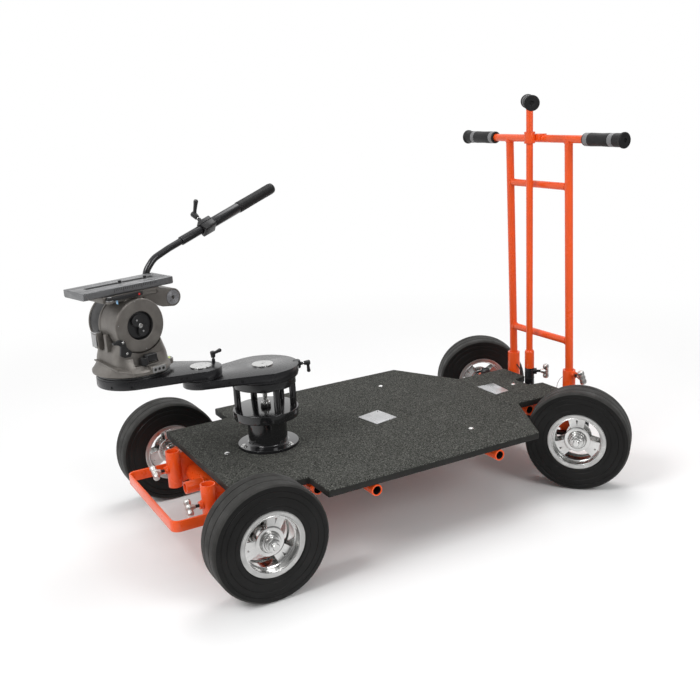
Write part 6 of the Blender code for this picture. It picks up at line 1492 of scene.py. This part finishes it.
small = [lathe(fillet([(0, 0.0514, 0), (0.0024, 0.0514), (0.0020, 0.0526, 0.0006), (0, 0.0528, 0)], 0.0003, 3), 24, "X", (0, y, z)) for y, z in ((-0.0075, 0.0130), (0.0060, -0.0130))]
make("drag_knob_small_screws", small, TRIM, "drag_knob", TILT)

# %% [markdown]
# ## The camera plate and its lock
#
# The plate is an extruded bar: flat on top with a groove along each side, a slot for the camera
# screws, and sides that lean in under its edge. A scale of bare ticks is inlaid in the near side.

# %% Camera plate
section = fillet(
    [
        (-0.0395, -0.0748), (0.0395, -0.0748), (0.0425, -0.0778), (0.0425, -0.0903, 0.0006), (0.0415, -0.0913, 0.0006), (0.0250, -0.0913, 0.0003), (0.0244, -0.0905, 0.0003),
        (0.0216, -0.0905, 0.0003), (0.0210, -0.0913, 0.0003), (-0.0210, -0.0913, 0.0003), (-0.0216, -0.0905, 0.0003), (-0.0244, -0.0905, 0.0003), (-0.0250, -0.0913, 0.0003),
        (-0.0415, -0.0913, 0.0006), (-0.0425, -0.0903, 0.0006), (-0.0425, -0.0778),
    ],
    0.0005, 2,
)
body = slab(section, -0.120, 0.100, "Y", edge=0.0006)
slots = [slab(fillet([(-0.0050, -0.0900, 0.0049), (0.0050, -0.0900, 0.0049), (0.0050, 0.0700, 0.0049), (-0.0050, 0.0700, 0.0049)], steps=6), 0.06, 0.12, edge=0)]
step = brick((-0.0085, -0.0930, 0.0893), (0.0085, 0.0730, 0.1000), 0)
plate = carve(body, *slots, step)
make("camera_plate_dressed", [plate], PLATE, "camera_plate", TILT, ["camera_plate"], 30)
ticks = []
for i in range(24):
    y = -0.048 + 0.0045 * i
    ticks.append(brick((0.0421, y, 0.0838 if i % 5 else 0.0812), (0.04265, y + 0.0010, 0.0890), 0))
make("camera_plate_scale", ticks, RECESS, "camera_plate", TILT)
studs = []
for y in (-0.0085, 0.0545):
    studs.append(lathe(fillet([(0, 0.0860, 0), (0.0070, 0.0860), (0.0070, 0.0912), (0.0036, 0.0920, 0.0008), (0.0036, 0.0962, 0.0008), (0, 0.0966, 0)], 0.0004, 3), 32, "Z", (0, y, 0)))
make("plate_screws", studs, IRON, "camera_plate", TILT)

# %% Plate lock
LOCK = TILT @ spot(0.047, -0.064, 0.065)
hub = bar(0.0065, 0.0003, 0.0090, "Z", edge=0.0010, steps=36)
outline = fillet([(-0.0042, 0.0, 0.001), (0.0050, 0.0, 0.001), (0.0066, 0.0280, 0.02), (0.0056, 0.0560, 0.02), (0.0012, 0.0820, 0.003), (-0.0040, 0.0820, 0.003), (-0.0026, 0.0500, 0.02)], steps=8)
blade = slab(outline, 0.0004, 0.0080, edge=0.0016)
make("plate_lock_dressed", [hub, blade], MOULDED, "plate_lock", LOCK, ["plate_lock_lever"], 35)
ring = pipe(0.0082, 0.0066, 0.0004, 0.0026, "Z", edge=0.0004, steps=40)
cap = lathe(fillet([(0, 0.0086, 0), (0.0050, 0.0086), (0.0044, 0.0098, 0.0006), (0, 0.0100, 0)], 0.0004, 3), 32)
make("plate_lock_trim", [ring, cap], TRIM, "plate_lock", LOCK)
make("plate_lock_red", [lathe(fillet([(0, 0.0046, 0), (0.0026, 0.0046), (0.0022, 0.0056, 0.0005), (0, 0.0058, 0)], 0.0003, 3), 24, "X", (0, 0.0700, 0.0045))], RED, "plate_lock", LOCK)
make("plate_lock_tab", [brick((-0.0030, 0.0158, -0.0085), (0.0030, 0.0180, 0.0020), 0.0006)], BLUE, "plate_lock", LOCK)

# %% [markdown]
# ## The pan bar
#
# The operator steers the head with this bar. A bent tube is clamped to the far rosette and ends in
# a thicker sleeve. A second tube with the grip slides on that sleeve, and a split block on its end
# holds it with a clamping lever. It all lies in one upright plane, so its line is drawn in that
# plane, with the rosette's centre as the zero.

# %% The bar's line
SIDE = -0.0615
PAN_BAR = TILT @ Matrix.Translation((0, 0.1037, 0.0414))
SLEEVE_END = Vector((SIDE, 0.1824, 0.1342))
bar_slope = math.radians(18.2)
bar_way = Vector((0, math.cos(bar_slope), math.sin(bar_slope)))
BAR_END = PAN_BAR @ Matrix.Translation(SLEEVE_END) @ bar_way.to_track_quat("Z", "Y").to_matrix().to_4x4()
line = bent(
    [(SIDE, 0, 0), (SIDE, -0.0120, 0.0450), (SIDE, 0.0165, 0.0765), tuple(SLEEVE_END - bar_way * 0.128), tuple(SLEEVE_END - bar_way * 0.060)],
    0.055, 9,
)
print("bent tube:", len(line), "points, sleeve ends at", [round(v, 4) for v in SLEEVE_END])

# %% Bent tube, sleeve and rosette
tube = rod_along(line, 0.0081, 8)
boss = lathe(fillet([(0, 0.0303, 0), (0.0162, 0.0303), (0.0165, 0.0340), (0.0165, 0.0690, 0.002), (0.0130, 0.0712, 0.002), (0, 0.0712, 0)], 0.0008, 4), 64, "-X")
nut = lathe(fillet([(0, 0.0705, 0), (0.0085, 0.0705), (0.0085, 0.0745), (0.0060, 0.0760), (0, 0.0760, 0)], 0.0005, 3), 32, "-X")
make("pan_bar_dressed", [tube, boss, nut], SATIN, "pan_bar", PAN_BAR, ["pan_bar"], 35)
sleeve = lathe(fillet([(0, -0.0904, 0), (0.0106, -0.0904), (0.0106, 0.0400), (0, 0.0400, 0)], 0.0008, 4), 56)
make("pan_bar_sleeve", [sleeve], SATIN, "pan_bar", BAR_END)

# %% Sliding tube, grip and clamp
outer = pipe(0.0128, 0.0118, -0.0200, 0.0960, "Z", edge=0.0003, steps=56)
ring = bead(0.0124, 0.0006, 0.0925, "Z", steps=56)
make("pan_bar_tube", [outer, ring], SATIN, "pan_bar_grip", BAR_END)
cover = lathe(
    fillet(
        [(0.0122, 0.0933), (0.0134, 0.0933, 0.0008), (0.0139, 0.0960, 0.001), (0.0136, 0.1550, 0.04), (0.0139, 0.2040, 0.006), (0.0128, 0.2120, 0.005), (0.0080, 0.2155, 0.003), (0, 0.2160, 0), (0, 0.2100, 0), (0.0122, 0.2060)],
        0.0008, 6,
    ),
    64,
)
make("pan_bar_grip_dressed", [cover], GRIP, "pan_bar_grip", BAR_END, ["pan_bar_grip"], 40)
CLAMP = BAR_END @ tip(41, "Z")
block = slab(fillet(rectangle(-0.0158, -0.0150, 0.0150, 0.0172), 0.0055, 4), -0.0277, 0.0066, edge=0.0016)
split = brick((-0.02, -0.0008, -0.04), (0.02, 0.0008, 0.02), 0)
carried(split, tip(90, "Z"), Matrix.Translation((0.0030, 0.0160, 0)))
block = carve(block, bar(0.0119, -0.04, 0.02, "Z", edge=0, steps=56), split)
make("pan_bar_block", [block], MOULDED, "pan_bar_grip", CLAMP)
lever_place = CLAMP @ Matrix.Translation((0.0155, 0.0083, -0.0160)) @ ALONG["X"] @ Matrix.Scale(1.25, 4)
clamping_lever("pan_bar_lever", "pan_bar_grip", lever_place, 115)

# %% [markdown]
# ## Loose ends
#
# A black strap hangs from the far rear socket and a loop of thin wire from the near one: they keep
# the push bar's pins from being lost. The cup at the foot of the tiller has one small screw. They
# are thin things, and each rides on the piece it is tied to.

# %% Strap, wire and screw
strap = bent([(-0.0998, 0.5130, 0.2200), (-0.0900, 0.5169, 0.2068), (-0.0900, 0.5238, 0.1932), (-0.0900, 0.5268, 0.1762), (-0.0900, 0.5257, 0.1621)], 0.010, 4)
wire = bent([(0.1110, 0.5005, 0.2375), (0.0984, 0.5000, 0.2261), (0.0890, 0.5000, 0.2123), (0.0853, 0.5000, 0.1960), (0.0930, 0.5050, 0.1800), (0.1015, 0.5095, 0.1730)], 0.010, 4)
make("socket_strap", [rod_along([tuple(p) for p in strap], 0.0017, 3)], MOULDED, "chassis", PLAN)
make("socket_wire", [rod_along([tuple(p) for p in wire], 0.0007, 3)], STEEL, "chassis", PLAN)
dome = lathe(fillet([(0, 0.0120, 0), (0.0030, 0.0120), (0.0026, 0.0142, 0.001), (0, 0.0150, 0)], 0.0004, 3), 28, "X")
make("column_cup_screw", [dome], STEEL, "tiller", PLAN @ spot(0, 0.4765, 0.1930, -28.6))
# %% [markdown]
# ## Floor, light and camera
#
# The portrait is a plain studio shot: a pale floor that runs out to white, a big soft light above
# the camera's left, a weaker one from the right, and a sky that metal can mirror. Behind the dolly
# that sky is white. On the side that faces the camera's right it is dim, because black paint looks
# black only when it has something dark to mirror. The floor fades with distance to the same sky by
# its own coordinates, so there is no horizon and the dolly still stands on its shadow.

# %% The floor
DIM_SIDE = (0.989, 0.144, 0.0)
DIM_FLOOR = 0.30
DIM_SKY = 0.16
bm = bmesh.new()
bmesh.ops.create_circle(bm, cap_ends=True, segments=96, radius=14.0)
floor = loose("floor", bm)
ground, tree, shader, place = start_material("studio_floor", 0.85, 0.0, specular=0.1)
shader.inputs["Base Color"].default_value = (0.93, 0.93, 0.93, 1)
distance = node(tree, "ShaderNodeVectorMath", {"operation": "LENGTH"}, i0=place)
far_off = node(tree, "ShaderNodeMapRange", {"interpolation_type": "SMOOTHSTEP"}, i0=distance.outputs["Value"], i1=0.9, i2=2.6)
rays = tree.nodes.new("ShaderNodeLightPath")
direct = node(tree, "ShaderNodeMath", {"operation": "MAXIMUM"}, i0=rays.outputs["Is Camera Ray"], i1=rays.outputs["Is Transmission Ray"])
fade = node(tree, "ShaderNodeMath", {"operation": "MULTIPLY"}, i0=far_off.outputs[0], i1=direct.outputs[0])
nearer = node(tree, "ShaderNodeMapRange", {"interpolation_type": "SMOOTHSTEP"}, i0=distance.outputs["Value"], i1=0.35, i2=1.1)
mirrored = node(tree, "ShaderNodeMath", {"operation": "MULTIPLY"}, i0=nearer.outputs[0], i1=rays.outputs["Is Glossy Ray"])
cover = node(tree, "ShaderNodeMath", {"operation": "MAXIMUM"}, i0=fade.outputs[0], i1=mirrored.outputs[0])
toward = node(tree, "ShaderNodeVectorMath", {"operation": "DOT_PRODUCT"}, i0=place, i1=DIM_SIDE)
dimmed = node(
    tree, "ShaderNodeMapRange", {"interpolation_type": "SMOOTHSTEP"},
    i0=toward.outputs["Value"], i1=-0.3, i2=0.9, i3=1.0, i4=DIM_FLOOR,
)
level = node(tree, "ShaderNodeMath", {"operation": "MAXIMUM"}, i0=dimmed.outputs[0], i1=direct.outputs[0])
glow = node(tree, "ShaderNodeEmission", Color=(1, 1, 1, 1), Strength=level.outputs[0])
mixed = node(tree, "ShaderNodeMixShader", i0=cover.outputs[0], i1=shader.outputs[0], i2=glow.outputs[0])
tree.links.new(mixed.outputs[0], tree.nodes["Material Output"].inputs["Surface"])
floor.data.materials.append(ground)

# %% The sky and the lamps
world = bpy.data.worlds.new("studio_sky")
bpy.context.scene.world = world
world.use_nodes = True
tree = world.node_tree
tree.nodes.clear()
rays = tree.nodes.new("ShaderNodeLightPath")
direct = node(tree, "ShaderNodeMath", {"operation": "MAXIMUM"}, i0=rays.outputs["Is Camera Ray"], i1=rays.outputs["Is Transmission Ray"])
seen = node(tree, "ShaderNodeMath", {"operation": "MAXIMUM"}, i0=direct.outputs[0], i1=rays.outputs["Is Glossy Ray"])
direction = tree.nodes.new("ShaderNodeTexCoord").outputs["Generated"]
toward = node(tree, "ShaderNodeVectorMath", {"operation": "DOT_PRODUCT"}, i0=direction, i1=DIM_SIDE)
dimmed = node(
    tree, "ShaderNodeMapRange", {"interpolation_type": "SMOOTHSTEP"},
    i0=toward.outputs["Value"], i1=-0.15, i2=0.55, i3=1.0, i4=DIM_SKY,
)
upward = node(tree, "ShaderNodeVectorMath", {"operation": "DOT_PRODUCT"}, i0=direction, i1=(0, 0, 1))
overhead = node(
    tree, "ShaderNodeMapRange", {"interpolation_type": "SMOOTHSTEP"},
    i0=upward.outputs["Value"], i1=0.45, i2=0.85, i3=0.0, i4=0.9,
)
level = node(tree, "ShaderNodeMath", {"operation": "MAXIMUM"}, i0=dimmed.outputs[0], i1=overhead.outputs[0])
level = node(tree, "ShaderNodeMath", {"operation": "MAXIMUM"}, i0=level.outputs[0], i1=direct.outputs[0])
backdrop = node(tree, "ShaderNodeBackground", Color=(1, 1, 1, 1), Strength=level.outputs[0])
fill = node(tree, "ShaderNodeBackground", Color=(1.0, 1.0, 1.0, 1), Strength=0.55)
mixed = node(tree, "ShaderNodeMixShader", i0=seen.outputs[0], i1=fill.outputs[0], i2=backdrop.outputs[0])
out = tree.nodes.new("ShaderNodeOutputWorld")
tree.links.new(mixed.outputs[0], out.inputs["Surface"])


def soft_light(name, position, target, size, power):
    lamp = bpy.data.lights.new(name, "AREA")
    lamp.shape = "DISK"
    lamp.size = size
    lamp.energy = power
    obj = bpy.data.objects.new(name, lamp)
    obj.location = position
    obj.rotation_euler = (Vector(target) - Vector(position)).to_track_quat("-Z", "Y").to_euler()
    bpy.context.scene.collection.objects.link(obj)
    return obj


soft_light("key_light", (0.6, -3.0, 3.2), (0, 0, 0.3), 1.8, 75)
soft_light("side_light", (3.4, 0.8, 2.2), (0, 0, 0.3), 1.6, 38)
soft_light("top_light", (-0.8, 1.2, 3.6), (0, 0, 0.2), 2.4, 45)
bpy.context.scene.view_settings.view_transform = "Standard"

# %% [markdown]
# The camera's place, direction and lens were fitted to the photograph on the wheels, the deck's
# corners and the handles. It looks down by 15.5 degrees, from 61.4 degrees round the dolly, and
# leans by 3 degrees, as a hand-held shot does.

# %% The camera
azimuth, elevation, roll = math.radians(61.4251), math.radians(15.5384), math.radians(-3.0702)
back = Vector((math.sin(azimuth) * math.cos(elevation), -math.cos(azimuth) * math.cos(elevation), math.sin(elevation)))
right = (-back).cross(Vector((0, 0, 1))).normalized()
up = right.cross(-back)
leaned_right = right * math.cos(roll) + up * math.sin(roll)
leaned_up = -right * math.sin(roll) + up * math.cos(roll)
lens = bpy.data.cameras.new("portrait_camera")
lens.sensor_width = 36.0
lens.lens = 920.1 * 36.0 / 700.0
lens.clip_start = 0.05
lens.clip_end = 60.0
camera = bpy.data.objects.new("portrait_camera", lens)
turned = Matrix((leaned_right, leaned_up, back)).transposed()
camera.matrix_world = Matrix.Translation(Vector((1.919, -1.1358, 1.0016)) + ORIGIN) @ turned.to_4x4()
bpy.context.scene.collection.objects.link(camera)
bpy.context.scene.camera = camera
print("camera at", [round(v, 3) for v in camera.location], "lens", round(lens.lens, 2))
